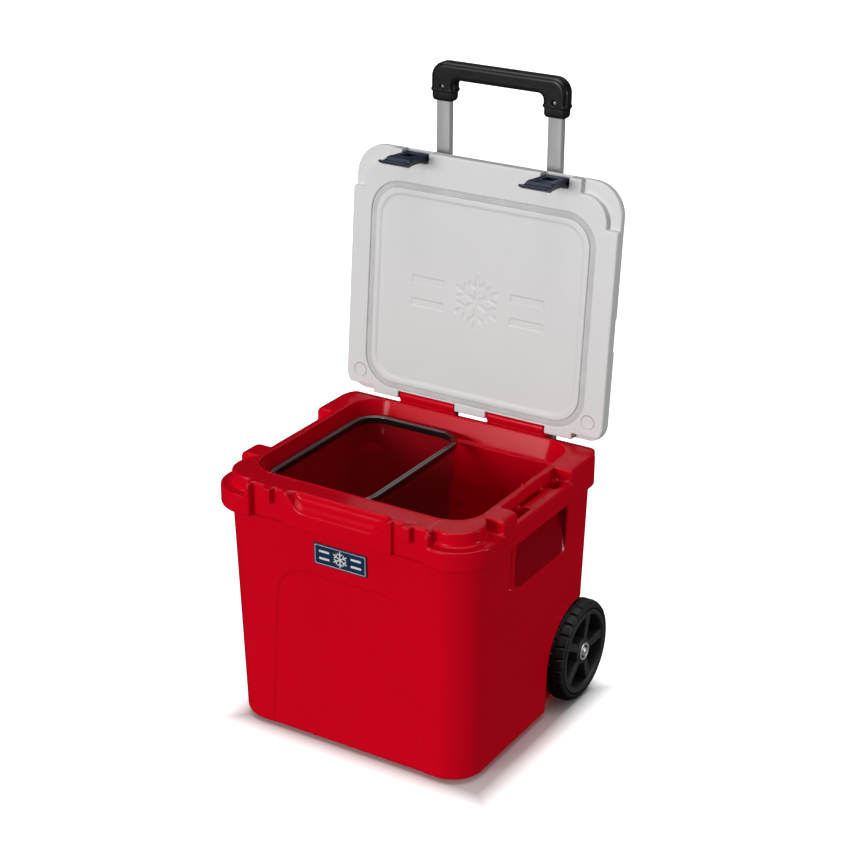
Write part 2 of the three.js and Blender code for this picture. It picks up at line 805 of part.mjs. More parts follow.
const LID_TOP = LID.bottom + LID.thickness;
const NOTCH = { from: HINGE.from - 1.5, to: HINGE.to + 1.5, radius: HINGE.radius + 1 };
const LATCH_BAY = { half: LATCH.width / 2 + 2, rear: -244.5, top: 477 };
const lidPlugs = [
  ["left", -224, 139],
  ["right", 224, 139],
];
const PLUG_RADIUS = 12;
// Reliefs in the lid: over the tub's front corner shelves, at the rear corners, and for the fingers.
const FRONT_RELIEF = { x: 186, y: -195, inner: 45, outer: 80, from: 181, to: -188, depth: 10 };
const REAR_RELIEF = { from: 196, y: 164, depth: 15 };
const FINGER_NOTCH = { x: 249, from: -39, to: 17, z: LID.bottom + 12 };

function lidReliefs(outset) {
  const { x, y, inner, outer, from, to, depth } = FRONT_RELIEF;
  const front = rodZ(x, y, 440, LID.bottom + depth + outset, outer + outset, 48)
    .subtract(rodZ(x, y, 430, 480, inner - outset, 48))
    .intersect(box(from - outset, 300, -300, to + outset, 400, 500));
  const rear = box(
    REAR_RELIEF.from - outset,
    300,
    REAR_RELIEF.y - outset,
    300,
    440,
    LID.bottom + REAR_RELIEF.depth + outset,
  );
  return both(front.add(rear));
}

function lidCavity(gap) {
  const inset = SKIN + gap;
  const cavity = loft([
    [LID.bottom + inset, lidOutline(inset + 2)],
    [LID_TOP - inset, lidOutline(inset + 4)],
  ]);
  const hingeEdge = box(-180, 180, HINGE.y - NOTCH.radius - 12 - gap, 300, 400, 500);
  const bays = both(
    box(
      LATCH.x - LATCH_BAY.half - 12 - gap,
      LATCH.x + LATCH_BAY.half + 12 + gap,
      -300,
      LATCH_BAY.rear + SKIN + gap,
      400,
      500,
    ),
  );
  return cavity
    .subtract(lidReliefs(inset))
    .subtract(hingeEdge)
    .subtract(bays)
    .subtract(gasketRing(GASKET.width + 2 * (3 + gap), 400, LID.bottom + GASKET.depth + 3 + gap));
}

function lidShell() {
  const body = loft([
    [LID.bottom, lidOutline(1.5)],
    [LID.bottom + 2, lidOutline(0)],
    [LID_TOP - 7, lidOutline(0)],
    [LID_TOP - 2, lidOutline(2)],
    [LID_TOP, lidOutline(7)],
  ]);
  const { from, to, radius } = NOTCH;
  const knuckleNose = rodX(from, to, HINGE.y, HINGE.z, radius, 32);
  const aboveNose = box(from, to, HINGE.y - radius, 200, HINGE.z, 500);
  const besideWeb = box(from, to, HINGE.y - 7.6, 200, 440, HINGE.z + 1);
  const notches = both(knuckleNose.add(aboveNose).add(besideWeb));
  const bays = both(
    box(
      LATCH.x - LATCH_BAY.half,
      LATCH.x + LATCH_BAY.half,
      -300,
      LATCH_BAY.rear,
      440,
      LATCH_BAY.top,
    ),
  );
  const lowerRearEdge = slabX(
    [
      [LID.rear - 4, LID.bottom - 1],
      [LID.rear + 1, LID.bottom - 1],
      [LID.rear + 1, LID.bottom + 4],
    ],
    -300,
    300,
  );
  const fingers = both(
    box(FINGER_NOTCH.x, 300, FINGER_NOTCH.from, FINGER_NOTCH.to, FINGER_NOTCH.z, 500),
  );
  let shell = body
    .subtract(lidCavity(0))
    .subtract(lidReliefs(0))
    .subtract(fingers)
    .subtract(gasketRing(GASKET.width, 450, LID.bottom + GASKET.depth))
    .subtract(notches)
    .subtract(bays)
    .subtract(lowerRearEdge)
    .subtract(both(rodX(0, 165, HINGE.y, HINGE.z, HINGE.pin + FIT, 12)))
    .subtract(both(rodX(LATCH.x - 31, LATCH.x + 31, LATCH.y, LATCH.z, LATCH.pin + GAP, 12)));
  for (const [, x, y] of lidPlugs) {
    shell = shell.subtract(rodZ(x, y, 450, LID.bottom + SKIN + 2, PLUG_RADIUS));
  }
  return shell;
}

put("lid_shell", lidShell(), white, lidFrame);
put("lid_foam", lidCavity(GAP), foam, lidFrame);
put(
  "lid_gasket",
  gasketRing(GASKET.width - 2 * GAP, LID.bottom + BEAD_HEIGHT - GAP, LID.bottom + GASKET.depth - GAP),
  gasketGrey,
  lidFrame,
);
for (const [side, x, y] of lidPlugs) {
  const plug = rodZ(x, y, LID.bottom, LID.bottom + SKIN, PLUG_RADIUS - GAP);
  put(`lid_fill_plug_${side}`, plug, white, lidFrame);
}

for (const [side, sign] of SIDES) {
  const pin = rodX(14, 162, HINGE.y, HINGE.z, HINGE.pin, 12);
  put(`hinge_pin_${side}`, sided(pin, sign), steel);
}

// ---------- latches ----------
function latch() {
  const half = LATCH.width / 2;
  const [x0, x1] = [LATCH.x - half, LATCH.x + half];
  const profile = [
    [LATCH.y - 6, LATCH.z],
    [LATCH.y - 7.5, LATCH.z - 8],
    [LATCH.y - 7.5, 411],
    [LATCH.y - 4.8, 397],
    [LATCH.y - 7, 385],
    [LATCH.y - 4.5, 384],
    [LATCH.y, 394],
    [LATCH.y + 3.5, 410],
    [LATCH.y + 3.5, LATCH.z - 8],
    [LATCH.y + 6, LATCH.z],
  ];
  const arm = slabX(profile, x0, x1);
  const hub = rodX(x0, x1, LATCH.y, LATCH.z, 6, 16);
  const window = box(
    CATCH_RIB.from - 1.5,
    CATCH_RIB.to + 1.5,
    LATCH.y - 20,
    LATCH.y + 20,
    CATCH_RIB.bottom - 1,
    LATCH.z - 9,
  );
  return arm
    .add(hub)
    .subtract(window)
    .subtract(rodX(x0 - 5, x1 + 5, LATCH.y, LATCH.z, LATCH.pin + FIT, 12));
}

for (const [side, sign] of SIDES) {
  put(`latch_${side}`, sided(latch(), sign), navy, lidFrame);
  const pin = rodX(LATCH.x - 30, LATCH.x + 30, LATCH.y, LATCH.z, LATCH.pin, 12);
  put(`latch_pin_${side}`, sided(pin, sign), steel, lidFrame);
}

// ---------- basket ----------
function basketArea(inset, lean = 0) {
  const { left, right, front, rear } = BASKET;
  return roundedOutline({
    x0: left + inset + lean,
    x1: right - inset - lean,
    y0: front + inset + lean,
    y1: rear - inset - lean,
    front: 46 - inset,
    rear: 46 - inset,
  });
}

function basketBin() {
  const wall = 2.5;
  const { rimTop, bottom } = BASKET;
  const form = (inset, lift) =>
    loft([
      [bottom + lift, basketArea(inset, 17)],
      [300, basketArea(inset, 13)],
      [304, basketArea(inset, 9)],
      [rimTop - 11, basketArea(inset, 4)],
      [rimTop + lift, basketArea(inset, 4)],
    ]);
  return form(0, 0)
    .intersect(box(-300, 300, -300, 300, 0, rimTop - 6))
    .subtract(form(wall, wall));
}

function basketRim() {
  const { rimTop } = BASKET;
  const ring = (inset, z0, z1, lean = 0) =>
    loft([
      [z0, basketArea(inset, lean)],
      [z1, basketArea(inset, lean)],
    ]);
  const groove = ring(-GAP, rimTop - 20, rimTop - 6 + GAP, 4);
  return ring(0, rimTop - 12, rimTop)
    .subtract(ring(10, rimTop - 20, rimTop + 5))
    .subtract(groove.subtract(ring(2.5 + GAP, rimTop - 21, rimTop, 4)));
}

put("basket_bin", basketBin(), smoke);
put("basket_rim", basketRim(), smoke);

export default cooler;
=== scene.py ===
"""Wheeled hard cooler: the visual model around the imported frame.

Moulded parts are signed-distance fields in millimetres, meshed by surface nets, thinned and put back on
the field with its exact normals, which gives the soft fillets of moulded plastic.
"""

import json
import math

import bpy
import numpy as np
from mathutils import Matrix, Vector


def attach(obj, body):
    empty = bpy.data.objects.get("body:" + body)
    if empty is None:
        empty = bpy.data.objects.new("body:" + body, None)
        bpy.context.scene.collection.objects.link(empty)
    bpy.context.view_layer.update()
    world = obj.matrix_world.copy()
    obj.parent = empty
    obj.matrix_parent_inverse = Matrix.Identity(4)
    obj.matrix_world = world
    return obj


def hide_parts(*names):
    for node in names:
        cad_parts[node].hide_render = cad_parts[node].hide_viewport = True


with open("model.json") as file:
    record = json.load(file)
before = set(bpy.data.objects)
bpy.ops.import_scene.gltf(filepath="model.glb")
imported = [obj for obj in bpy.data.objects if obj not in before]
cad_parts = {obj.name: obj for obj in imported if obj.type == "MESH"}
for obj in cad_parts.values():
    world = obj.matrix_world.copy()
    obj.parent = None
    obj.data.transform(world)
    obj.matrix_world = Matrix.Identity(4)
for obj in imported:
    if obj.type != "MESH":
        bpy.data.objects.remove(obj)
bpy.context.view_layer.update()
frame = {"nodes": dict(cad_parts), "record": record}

MM = 0.001
SIDES = (("left", -1), ("right", 1))

# ---------- camera ----------
# It comes first. Millimetres in the part's own frame.
CAMERA = {"at": (1581.0, -2575.8, 1804.8), "target": (0.0, 7.0, 506.1), "roll": 0.33, "lens": 85.26}


def make_camera():
    data = bpy.data.cameras.new("camera")
    data.lens = CAMERA["lens"]
    data.sensor_width = 36
    data.clip_start, data.clip_end = 0.05, 60
    obj = bpy.data.objects.new("camera", data)
    bpy.context.scene.collection.objects.link(obj)
    place, target = (Vector(CAMERA[key]) * MM for key in ("at", "target"))
    turn = (target - place).to_track_quat("-Z", "Y").to_matrix().to_4x4()
    roll = Matrix.Rotation(math.radians(CAMERA["roll"]), 4, "Z")
    obj.matrix_world = Matrix.Translation(place) @ turn @ roll
    bpy.context.scene.camera = obj


# ---------- light ----------
# Matt surfaces get AMBIENT from all round. Glossy ones mirror a dark surrounding and a bright sky, which
# comes in between two heights, given as sines of the angle above the horizon.
AMBIENT = 0.27
MIRRORED_SKY, MIRRORED_GROUND = 4.0, 0.01
MIRROR_FROM, MIRROR_TO = 0.74, 0.86
# name, direction towards the light, strength, spread
SUNS = (
    ("front", (-0.25, -0.92, 0.13), 2.06, 0.4),
    ("top", (0.0, -0.12, 1.0), 0.7, 0.5),
    ("side", (0.88, 0.45, -0.05), 0.8, 0.15),
)


# In metres: the floor's half size, the footprint's middle and half size, and how far beyond the footprint
# a shadow still shows.
FLOOR_REACH = 14
FOOTPRINT_MIDDLE, FOOTPRINT_HALF = (0.018, -0.03, 0), (0.226, 0.19, 0)
SHADOW_REACH = 0.055


# ---------- fields ----------
def smin(a, b, k):
    """Union with a fillet about k wide."""
    h = np.maximum(k - np.abs(a - b), 0) / k
    return np.minimum(a, b) - h * h * k / 4


def smax(a, b, k):
    """Intersection with its edge rounded over about k."""
    return -smin(-a, -b, k)


def cut(a, b, k):
    return smax(a, -b, k)


def plan(x, y, half, front, rear, r_front, r_rear):
    """A rectangle |x| < half, front < y < rear with its own radius at front and rear corners."""
    mid = (front + rear) / 2
    r = np.where(y < mid, r_front, r_rear)
    qx = np.abs(x) - half + r
    qy = np.abs(y - mid) - (rear - front) / 2 + r
    return np.minimum(np.maximum(qx, qy), 0) + np.hypot(np.maximum(qx, 0), np.maximum(qy, 0)) - r


def between(v, low, high):
    return np.maximum(low - v, v - high)


def brick(x, y, z, spans, r=0.0):
    """A box from its spans ((x0, x1), (y0, y1), (z0, z1)) with every edge rounded to r."""
    q = [np.abs(v - (a + b) / 2) - (b - a) / 2 + r for v, (a, b) in zip((x, y, z), spans)]
    inside = np.minimum(np.maximum(np.maximum(q[0], q[1]), q[2]), 0)
    outside = np.sqrt(sum(np.maximum(v, 0) ** 2 for v in q))
    return inside + outside - r


def ramp(v, points, column):
    return np.interp(v, [p[0] for p in points], [p[column] for p in points])


# ---------- meshing ----------
def surface_net(field, x, y, z, cell):
    """Quads through the field's zero, on a grid that starts half a cell left of x = 0."""
    values = np.broadcast_to(
        field(x[:, None, None], y[None, :, None], z[None, None, :]), (len(x), len(y), len(z))
    ).astype(np.float32)
    shape = np.array(values.shape) - 1
    count = np.zeros(shape.prod(), np.int32)
    total = np.zeros((shape.prod(), 3))
    origin = np.array((x[0], y[0], z[0]))
    strides = np.array((shape[1] * shape[2], shape[2], 1))
    edges = []
    for axis in range(3):
        first = np.take(values, range(shape[axis]), axis)
        second = np.take(values, range(1, shape[axis] + 1), axis)
        at = np.argwhere((first < 0) != (second < 0))
        a, b = (v[tuple(at.T)] for v in (first, second))
        place = at.astype(float)
        place[:, axis] += a / (a - b)
        others = [i for i in range(3) if i != axis]
        if axis == 1:
            others.reverse()
        corners = []
        for du, dv in ((1, 1), (0, 1), (0, 0), (1, 0)):
            c = at.copy()
            c[:, others[0]] -= du
            c[:, others[1]] -= dv
            corners.append(c)
        fits = np.ones(len(at), bool)
        for c in corners:
            good = ((c >= 0) & (c < shape)).all(1)
            linear = (c[good] * strides).sum(1)
            count += np.bincount(linear, minlength=len(count)).astype(np.int32)
            for i in range(3):
                total[:, i] += np.bincount(linear, place[good, i], len(count))
            fits &= good
        quad = np.stack([(c[fits] * strides).sum(1) for c in corners], 1)
        leaving = a[fits] < 0
        quad[~leaving] = quad[~leaving][:, ::-1]
        edges.append(quad)
    used = np.flatnonzero(count)
    index = np.full(len(count), -1)
    index[used] = np.arange(len(used))
    points = total[used] / count[used, None] * cell + origin
    quads = index[np.concatenate(edges)]
    middle = used // strides[0] == 0
    points[middle, 0] = 0
    return points, quads, middle


def slope(field, p, step=0.25):
    """The field's gradient at each point."""
    out = np.empty_like(p)
    for i in range(3):
        ahead, behind = p.copy(), p.copy()
        ahead[:, i] += step
        behind[:, i] -= step
        out[:, i] = (field(*ahead.T) - field(*behind.T)) / (2 * step)
    return out


def settle(field, p, rounds=3):
    """Moves points onto the field's surface."""
    for _ in range(rounds):
        g = slope(field, p)
        size = np.maximum((g * g).sum(1), 0.1)
        move = g * (field(*p.T) / size)[:, None]
        far = np.maximum(np.linalg.norm(move, axis=1), 1e-9)
        p = p - move * np.minimum(1, 1.5 / far)[:, None]
    return p


def link(name, mesh):
    obj = bpy.data.objects.new(name, mesh)
    bpy.context.scene.collection.objects.link(obj)
    return obj


def carved(name, field, half, span_y, span_z, cell, faces, centre=0.0, turn=None):
    """A mesh of a field that is even in x, about x = centre, thinned to the given count of triangles."""
    x = np.arange(-0.5, half / cell + 1.5) * cell
    y = np.arange(span_y[0] - 1.5 * cell, span_y[1] + 2 * cell, cell)
    z = np.arange(span_z[0] - 1.5 * cell, span_z[1] + 2 * cell, cell)
    points, quads, middle = surface_net(field, x, y, z, cell)
    points = settle(field, points)
    points[middle, 0] = 0
    mirrored = np.arange(len(points)) + len(points)
    mirrored[middle] = np.flatnonzero(middle)
    quads = np.concatenate([quads, mirrored[quads][:, ::-1]])
    points = np.concatenate([points, points * (-1, 1, 1)])
    kept = np.unique(quads)
    renumber = np.full(len(points), -1)
    renumber[kept] = np.arange(len(kept))
    points, quads = points[kept], renumber[quads]
    mesh = bpy.data.meshes.new(name)
    mesh.from_pydata(points.tolist(), [], quads.tolist())
    obj = link(name, mesh)
    if len(quads) * 2 > faces:
        thin = obj.modifiers.new("thin", "DECIMATE")
        thin.ratio = faces / (len(quads) * 2)
        graph = bpy.context.evaluated_depsgraph_get()
        thinned = bpy.data.meshes.new_from_object(obj.evaluated_get(graph))
        obj.modifiers.clear()
        obj.data = thinned
        bpy.data.meshes.remove(mesh)
        thinned.name = name
        mesh = thinned
    points = np.empty(len(mesh.vertices) * 3)
    mesh.vertices.foreach_get("co", points)
    points = settle(field, points.reshape(-1, 3), 2)
    normals = slope(field, points, 0.4)
    points[:, 0] += centre
    if turn is not None:
        points, normals = turn(points), turn(normals, direction=True)
    normals /= np.maximum(np.linalg.norm(normals, axis=1), 1e-9)[:, None]
    mesh.vertices.foreach_set("co", (points * MM).ravel())
    mesh.polygons.foreach_set("use_smooth", [True] * len(mesh.polygons))
    mesh.normals_split_custom_set_from_vertices(normals.tolist())
    mesh.update()
    return obj


# ---------- tub ----------
BASE_Z, RIM_BOTTOM, RIM_TOP = 6, 400, 458
LIP_TOP, BEAD_TOP = 437, 460
WHEEL_Y, WHEEL_Z, WELL_RADIUS, WELL_X = 135.5, 90, 95, 205
HINGE_Y, HINGE_Z = 170, 470
# half width, front, rear and corner radii of the ring the gasket closes on
GASKET_LINE = (209, -202, 154.4, 52, 52)
# The quarter-ring shelf in each front corner: its centre, middle radius and half width.
SHELF_X, SHELF_Y, SHELF_RADIUS, SHELF_HALF = 186, -195, 62.5, 17.5
# the hand-hold's span in y and z, and how its back leans out downwards
HOLD_FRONT, HOLD_REAR, HOLD_LOW, HOLD_HIGH = -93, 79, 303, 399
HOLD_BACK, HOLD_LEAN = 214.5, 0.19
# The rim's raised blocks: one round each front corner, one at each side near the rear.
FRONT_BLOCK_X, FRONT_BLOCK_END = 162, -117
REAR_BLOCK_FROM, REAR_BLOCK_TO = 62, 156
# the finger slots' inner and outer walls, and their span in y
SLOT_INNER, SLOT_OUTER, SLOT_FROM, SLOT_TO = 218, 236, -113, 60
KNUCKLE_FROM, KNUCKLE_TO = 32, 143
FLOOR_Z = 50
FILL_HOLE_Y, FILL_HOLE_RADIUS = -40, 15

# height, half width, front, rear and corner radius of the inside
INSIDE = (
    (FLOOR_Z, 171, -170, 115, 34),
    (62, 181, -178, 125, 40),
    (422.4, 195, -186, 136.5, 45),
    (424.0, 201, -193.5, 145, 47),
    (458, 207, -200, 155, 50),
    (480, 207, -200, 155, 50),
)


def tub_walls(x, y, z):
    t = (z - BASE_Z) / (RIM_BOTTOM - BASE_Z)
    d = plan(x, y, 226.7 + 10 * t, -229 - 11 * t, 155 + 5 * t, 57, 14)
    # The front panel is sunk inside an arch.
    arch = smax(np.abs(x) - (147 - 0.078 * (z - BASE_Z)), z - 319, 60)
    sunk = np.clip(0.5 - arch / 3.5, 0, 1)
    sunk = sunk * sunk * (3 - 2 * sunk)
    d = d + np.where(y < -150, 1.6 * sunk, 0)
    return smax(smax(d, BASE_Z - z, 13), z - RIM_BOTTOM - 12, 2)


def hand_hold(ax, y, z):
    back = HOLD_BACK + (RIM_BOTTOM - z) * HOLD_LEAN
    d = smax(between(y, HOLD_FRONT, HOLD_REAR), between(z, HOLD_LOW, HOLD_HIGH), 24)
    # The front corner block's underside slopes across the upper front corner.
    d = smax(d, ((y - HOLD_FRONT) * -27 + (z - 412) * 37) / 45.8, 6)
    return smax(d, back - ax, 5)


def rim(ax, y, z):
    flange = smax(plan(ax, y, 242, -246, 167, 60, 12), between(z, RIM_BOTTOM, RIM_TOP), 5)
    outer = plan(ax, y, 250, -259, 163, 64, 26)
    # The mould's parting line: the top few millimetres stand a little further in.
    outer = outer + 1.1 * np.clip((z - 451) / 1.2, 0, 1)
    block = smax(outer, between(z, RIM_BOTTOM, RIM_TOP), 6)
    corner = smax(block, np.maximum(FRONT_BLOCK_X - ax, y - FRONT_BLOCK_END), 5)
    rear = smax(block, between(y, REAR_BLOCK_FROM, REAR_BLOCK_TO), 5)
    low_edge = smax(outer, between(z, RIM_BOTTOM, LIP_TOP), 5)
    lip = smax(low_edge, between(y, FRONT_BLOCK_END - 2, REAR_BLOCK_FROM + 2), 2)
    d = smin(flange, np.minimum(corner, rear), 4)
    # A quarter-ring shelf is let into each front corner block.
    reach = np.hypot(ax - SHELF_X, y - SHELF_Y)
    shelf = smax(np.abs(reach - SHELF_RADIUS) - SHELF_HALF, 435 - z, 6)
    shelf = smax(shelf, np.maximum(172 - ax, y + 160), 6)
    d = cut(d, shelf, 4)
    # The front's raised middle with its scooped top edge, and a catch rib for each latch.
    centre = brick(ax, y, z, ((-103, 103), (-253.5, -236), (RIM_BOTTOM, RIM_TOP)), 3)
    rib = brick(ax, y, z, ((122, 138.5), (-257.5, -236), (432.5, RIM_TOP)), 2.6)
    d = smin(smin(d, centre, 4), rib, 5)
    scoop = smax(ax - 71 - (z - 430) * 0.8, smax(430.5 - z + (y + 253.5) * 0.95, y + 238, 7), 12)
    d = cut(d, scoop, 5)
    # The deck behind the side lip, with its finger slots between gussets.
    deck = smax(between(ax, SLOT_INNER, 245), between(y, FRONT_BLOCK_END, REAR_BLOCK_FROM), 4)
    d = smin(cut(d, smax(deck, LIP_TOP - z, 3), 3), lip, 2)
    both_ends = np.minimum(between(y, SLOT_FROM, -56), between(y, 28, SLOT_TO))
    ends = smax(between(ax, SLOT_INNER + 1, SLOT_OUTER + 2), both_ends, 8)
    slit = smax(between(ax, SLOT_INNER - 1.5, SLOT_INNER + 5), between(y, -60, 30), 3)
    low = smax(between(ax, SLOT_INNER, SLOT_OUTER), between(y, SLOT_FROM, SLOT_TO), 8)
    low = smax(low, z - 424, 6)
    slots = smax(smin(np.minimum(ends, slit), low, 3), 385 - z, 4)
    d = cut(d, slots, 3)
    for gusset_y in (-60, 19, 58):
        g = brick(ax, y, z, ((210, 224), (gusset_y - 6, gusset_y + 6), (405, 437.5)), 5)
        d = smin(d, g, 4)
    return d


def knuckle(ax, y, z):
    nose = np.hypot(y - HINGE_Y, z - HINGE_Z) - 11
    slant = ((y - 166) * 38 - (z - 416) * 13) / 40.2
    web = np.maximum(np.maximum(np.maximum(163.7 - y, y - 181), slant), between(z, 416, HINGE_Z))
    return smax(smin(nose, web, 2), between(ax, KNUCKLE_FROM, KNUCKLE_TO), 2.5)


def tub_field(x, y, z):
    ax = np.abs(x)
    d = smin(tub_walls(x, y, z), rim(ax, y, z), 6)
    # The bead round the opening, which the gasket closes on.
    bead = plan(x, y, 211, -204, 159, 54, 54)
    bead = smax(bead, z - BEAD_TOP, 6)
    d = smin(d, np.maximum(bead, 440 - z), 2.5)
    d = smin(d, knuckle(ax, y, z), 3)
    inside = plan(
        x, y, *(ramp(z, INSIDE, column) for column in (1, 2, 3, 4)), ramp(z, INSIDE, 4)
    )
    inside = smax(inside, FLOOR_Z - z, 18)
    d = cut(d, inside, 3)
    # A nub on the bead at each side, and the slot on the inner walls for a divider.
    nub = np.hypot(np.hypot(ax - 207.5, y + 27), z - 457.5) - 3.2
    d = smin(d, nub, 2)
    groove = np.hypot(x + 9, np.minimum(np.abs(y - 131), np.abs(y + 184)) * 0.6) - 3.4
    groove = smax(groove, between(z, 110, 424), 3)
    d = cut(d, groove, 2)
    # The hand-hold, and the narrow slot in the wall in front of it.
    d = cut(d, hand_hold(ax, y, z), 5)
    slot = brick(ax, y, z, ((233.4, 260), (-113.5, -107.5), (313, 384)), 2)
    d = cut(d, slot, 2)
    # The wheel wells, open below and behind, and the foam filling hole under the base.
    wheel = np.hypot(y - WHEEL_Y, z - WHEEL_Z) - WELL_RADIUS
    below = np.maximum(WHEEL_Y - WELL_RADIUS - y, z - WHEEL_Z)
    behind = np.maximum(WHEEL_Y - y, z - WHEEL_Z - WELL_RADIUS)
    well = np.minimum(np.minimum(wheel, below), behind)
    d = cut(d, smax(well, WELL_X - ax, 8), 4)
    hole = np.hypot(x, y - FILL_HOLE_Y) + np.where(z < BASE_Z + 4, -FILL_HOLE_RADIUS, 40)
    return cut(d, hole, 1)


def make_tub():
    tub = carved("tub", tub_field, 252, (-262, 184), (4, 483), 2.4, 150000)
    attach(tub, "tub")
    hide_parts("tub_shell")
    return tub


# ---------- lid, drawn shut and turned open ----------
LID_OPEN = math.radians(94.57)
LID_BOTTOM, LID_TOP = 458.6, 488.0
OPEN_COS, OPEN_SIN = math.cos(LID_OPEN), math.sin(LID_OPEN)


def opened(points, direction=False):
    """Turns closed-lid coordinates about the hinge to the open rest position."""
    hinge = np.array((0, 0, 0) if direction else (0, HINGE_Y, HINGE_Z), float)
    p = points - hinge
    y = p[:, 1] * OPEN_COS + p[:, 2] * OPEN_SIN
    z = -p[:, 1] * OPEN_SIN + p[:, 2] * OPEN_COS
    return np.stack([p[:, 0], y, z], 1) + hinge


def lid_field(x, y, z):
    ax = np.abs(x)
    edge = plan(x, y, 252, -263, 175.5, 55, 32)
    d = smax(smax(edge, z - LID_TOP, 12), LID_BOTTOM - z, 3)
    # Underneath: the gasket's groove, and inside it a second, softer step round the sunk middle.
    groove = np.abs(plan(x, y, *GASKET_LINE)) - 5
    d = cut(d, smax(groove, z - LID_BOTTOM - 4, 2), 2)
    sunk = plan(x, y, 194, -186.5, 139.5, 42, 42)
    s = np.clip(0.5 - sunk / 6, 0, 1)
    mark = np.clip(0.5 - emblem(x, y + 24, 48.0) / 1.6, 0, 1)
    step = 1.8 * s * s * (3 - 2 * s) + 0.7 * mark * mark * (3 - 2 * mark)
    d = np.maximum(d, LID_BOTTOM + step - z)
    # On top: a raised middle with a shallow border.
    border = np.abs(plan(x, y, 206, -212, 118, 44, 44)) - 3
    d = cut(d, smax(border, LID_TOP - 1.6 - z, 1.5), 2)
    # Round the hinge knuckles and the latches.
    nose = np.hypot(y - HINGE_Y, z - HINGE_Z) - 12
    above = np.maximum(158 - y, HINGE_Z - z)
    beside = np.maximum(162.4 - y, z - HINGE_Z - 1)
    notch = np.minimum(np.minimum(nose, above), beside)
    notch = np.maximum(notch, between(ax, KNUCKLE_FROM - 1.5, KNUCKLE_TO + 1.5))
    d = cut(d, notch, 2)
    bushing = np.maximum(np.hypot(y - HINGE_Y, z - HINGE_Z) - 8.2, between(ax, 140, 161.5))
    d = cut(d, bushing, 1)
    beside_latch = between(ax, LATCH_X - 26, LATCH_X + 26)
    bay = np.maximum(np.maximum(beside_latch, y + 244.5), z - 477)
    d = cut(d, bay, 2)
    # The front corners underneath stand clear of the tub's shelves.
    reach = np.hypot(ax - SHELF_X, y - SHELF_Y)
    shelf = smax(np.abs(reach - SHELF_RADIUS) - SHELF_HALF, z - LID_BOTTOM - 10, 4)
    shelf = smax(shelf, np.maximum(181 - ax, y + 188), 3)
    d = cut(d, shelf, 3)
    # The rear corners are let in where the hinge pins go in, and the sides notched for the fingers.
    rear = smax(smax(196 - ax, 164 - y, 2), z - LID_BOTTOM - 15, 2)
    d = cut(d, rear, 2)
    pin_hole = smax(np.hypot(y - HINGE_Y, z - HINGE_Z) - 3.4, between(ax, 188, 200), 0.5)
    d = cut(d, pin_hole, 0.6)
    screw_hole = smax(np.hypot(ax - 180, z - LID_BOTTOM - 9) - 3, y + 257, 0.5)
    d = cut(d, screw_hole, 0.8)
    fingers = smax(smax(248.8 - ax, between(y, -39, 17), 2), LID_BOTTOM + 12 - z, 2)
    d = cut(d, fingers, 2)
    plug = np.maximum(np.hypot(ax - 224, y - 139) - 11.9, z - LID_BOTTOM - 4)
    return cut(d, plug, 0.4)


def make_lid():
    lid = carved("lid", lid_field, 254, (-265, 178), (457, 490), 1.9, 110000, turn=opened)
    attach(lid, "lid")
    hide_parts("lid_shell")
    return lid


# ---------- shared mesh builders ----------
def outline(half, front, rear, r_front, r_rear, offset, steps, centre=0.0):
    """Points round a rectangle with rounded corners, anticlockwise, grown by offset."""
    points = []
    for cx, cy, r, start in (
        (half - r_front, front + r_front, r_front, -90),
        (half - r_rear, rear - r_rear, r_rear, 0),
        (-half + r_rear, rear - r_rear, r_rear, 90),
        (-half + r_front, front + r_front, r_front, 180),
    ):
        for i in range(steps + 1):
            a = math.radians(start + 90 * i / steps)
            reach = max(r + offset, 0.05)
            points.append((centre + cx + reach * math.cos(a), cy + reach * math.sin(a)))
    return points


def skin(name, rings, closed=False, caps=(False, False), smooth=40, turn=None):
    """Quads through rings of equal length, given as [x, y, z] points in millimetres."""
    count = len(rings[0])
    points = np.array([p for ring in rings for p in ring], float)
    if turn is not None:
        points = turn(points)
    faces = []
    for s in range(len(rings) - (0 if closed else 1)):
        a, b = s * count, (s + 1) % len(rings) * count
        for i in range(count):
            j = (i + 1) % count
            faces.append((a + i, a + j, b + j, b + i))
    if caps[0]:
        faces.append(tuple(range(count))[::-1])
    if caps[1]:
        faces.append(tuple(range((len(rings) - 1) * count, len(rings) * count)))
    mesh = bpy.data.meshes.new(name)
    mesh.from_pydata((points * MM).tolist(), [], faces)
    mesh.polygons.foreach_set("use_smooth", [True] * len(mesh.polygons))
    mesh.set_sharp_from_angle(angle=math.radians(smooth))
    return link(name, mesh)


def rounded_loop(points, radius, steps=4):
    """A closed run of 2D points with its corners rounded."""
    out = []
    for i, corner in enumerate(points):
        corner = np.array(corner, float)
        before, after = (np.array(points[j % len(points)], float) - corner for j in (i - 1, i + 1))
        lengths = np.linalg.norm(before), np.linalg.norm(after)
        reach = min(radius, lengths[0] * 0.49, lengths[1] * 0.49)
        a, b = corner + before / lengths[0] * reach, corner + after / lengths[1] * reach
        for k in range(steps + 1):
            t = k / steps
            out.append(tuple((1 - t) ** 2 * a + 2 * t * (1 - t) * corner + t * t * b))
    return out


def turned(name, profile, sides, side, radius_at=None):
    """A part turned about the wheel's axle. profile: (x, radius) points, x towards the outside."""
    rings = []
    for x, radius in profile:
        ring = []
        for i in range(sides):
            a = 2 * math.pi * i / sides
            r = radius if radius_at is None else radius_at(x, radius, a)
            ring.append((side * x, WHEEL_Y + r * math.cos(a), WHEEL_Z + r * math.sin(a)))
        rings.append(ring)
    if side > 0:
        rings.reverse()
    return skin(name, rings, closed=True, smooth=50)


def placed(obj, body, slot, *nodes):
    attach(obj, body)
    if nodes:
        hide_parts(*nodes)
    return obj


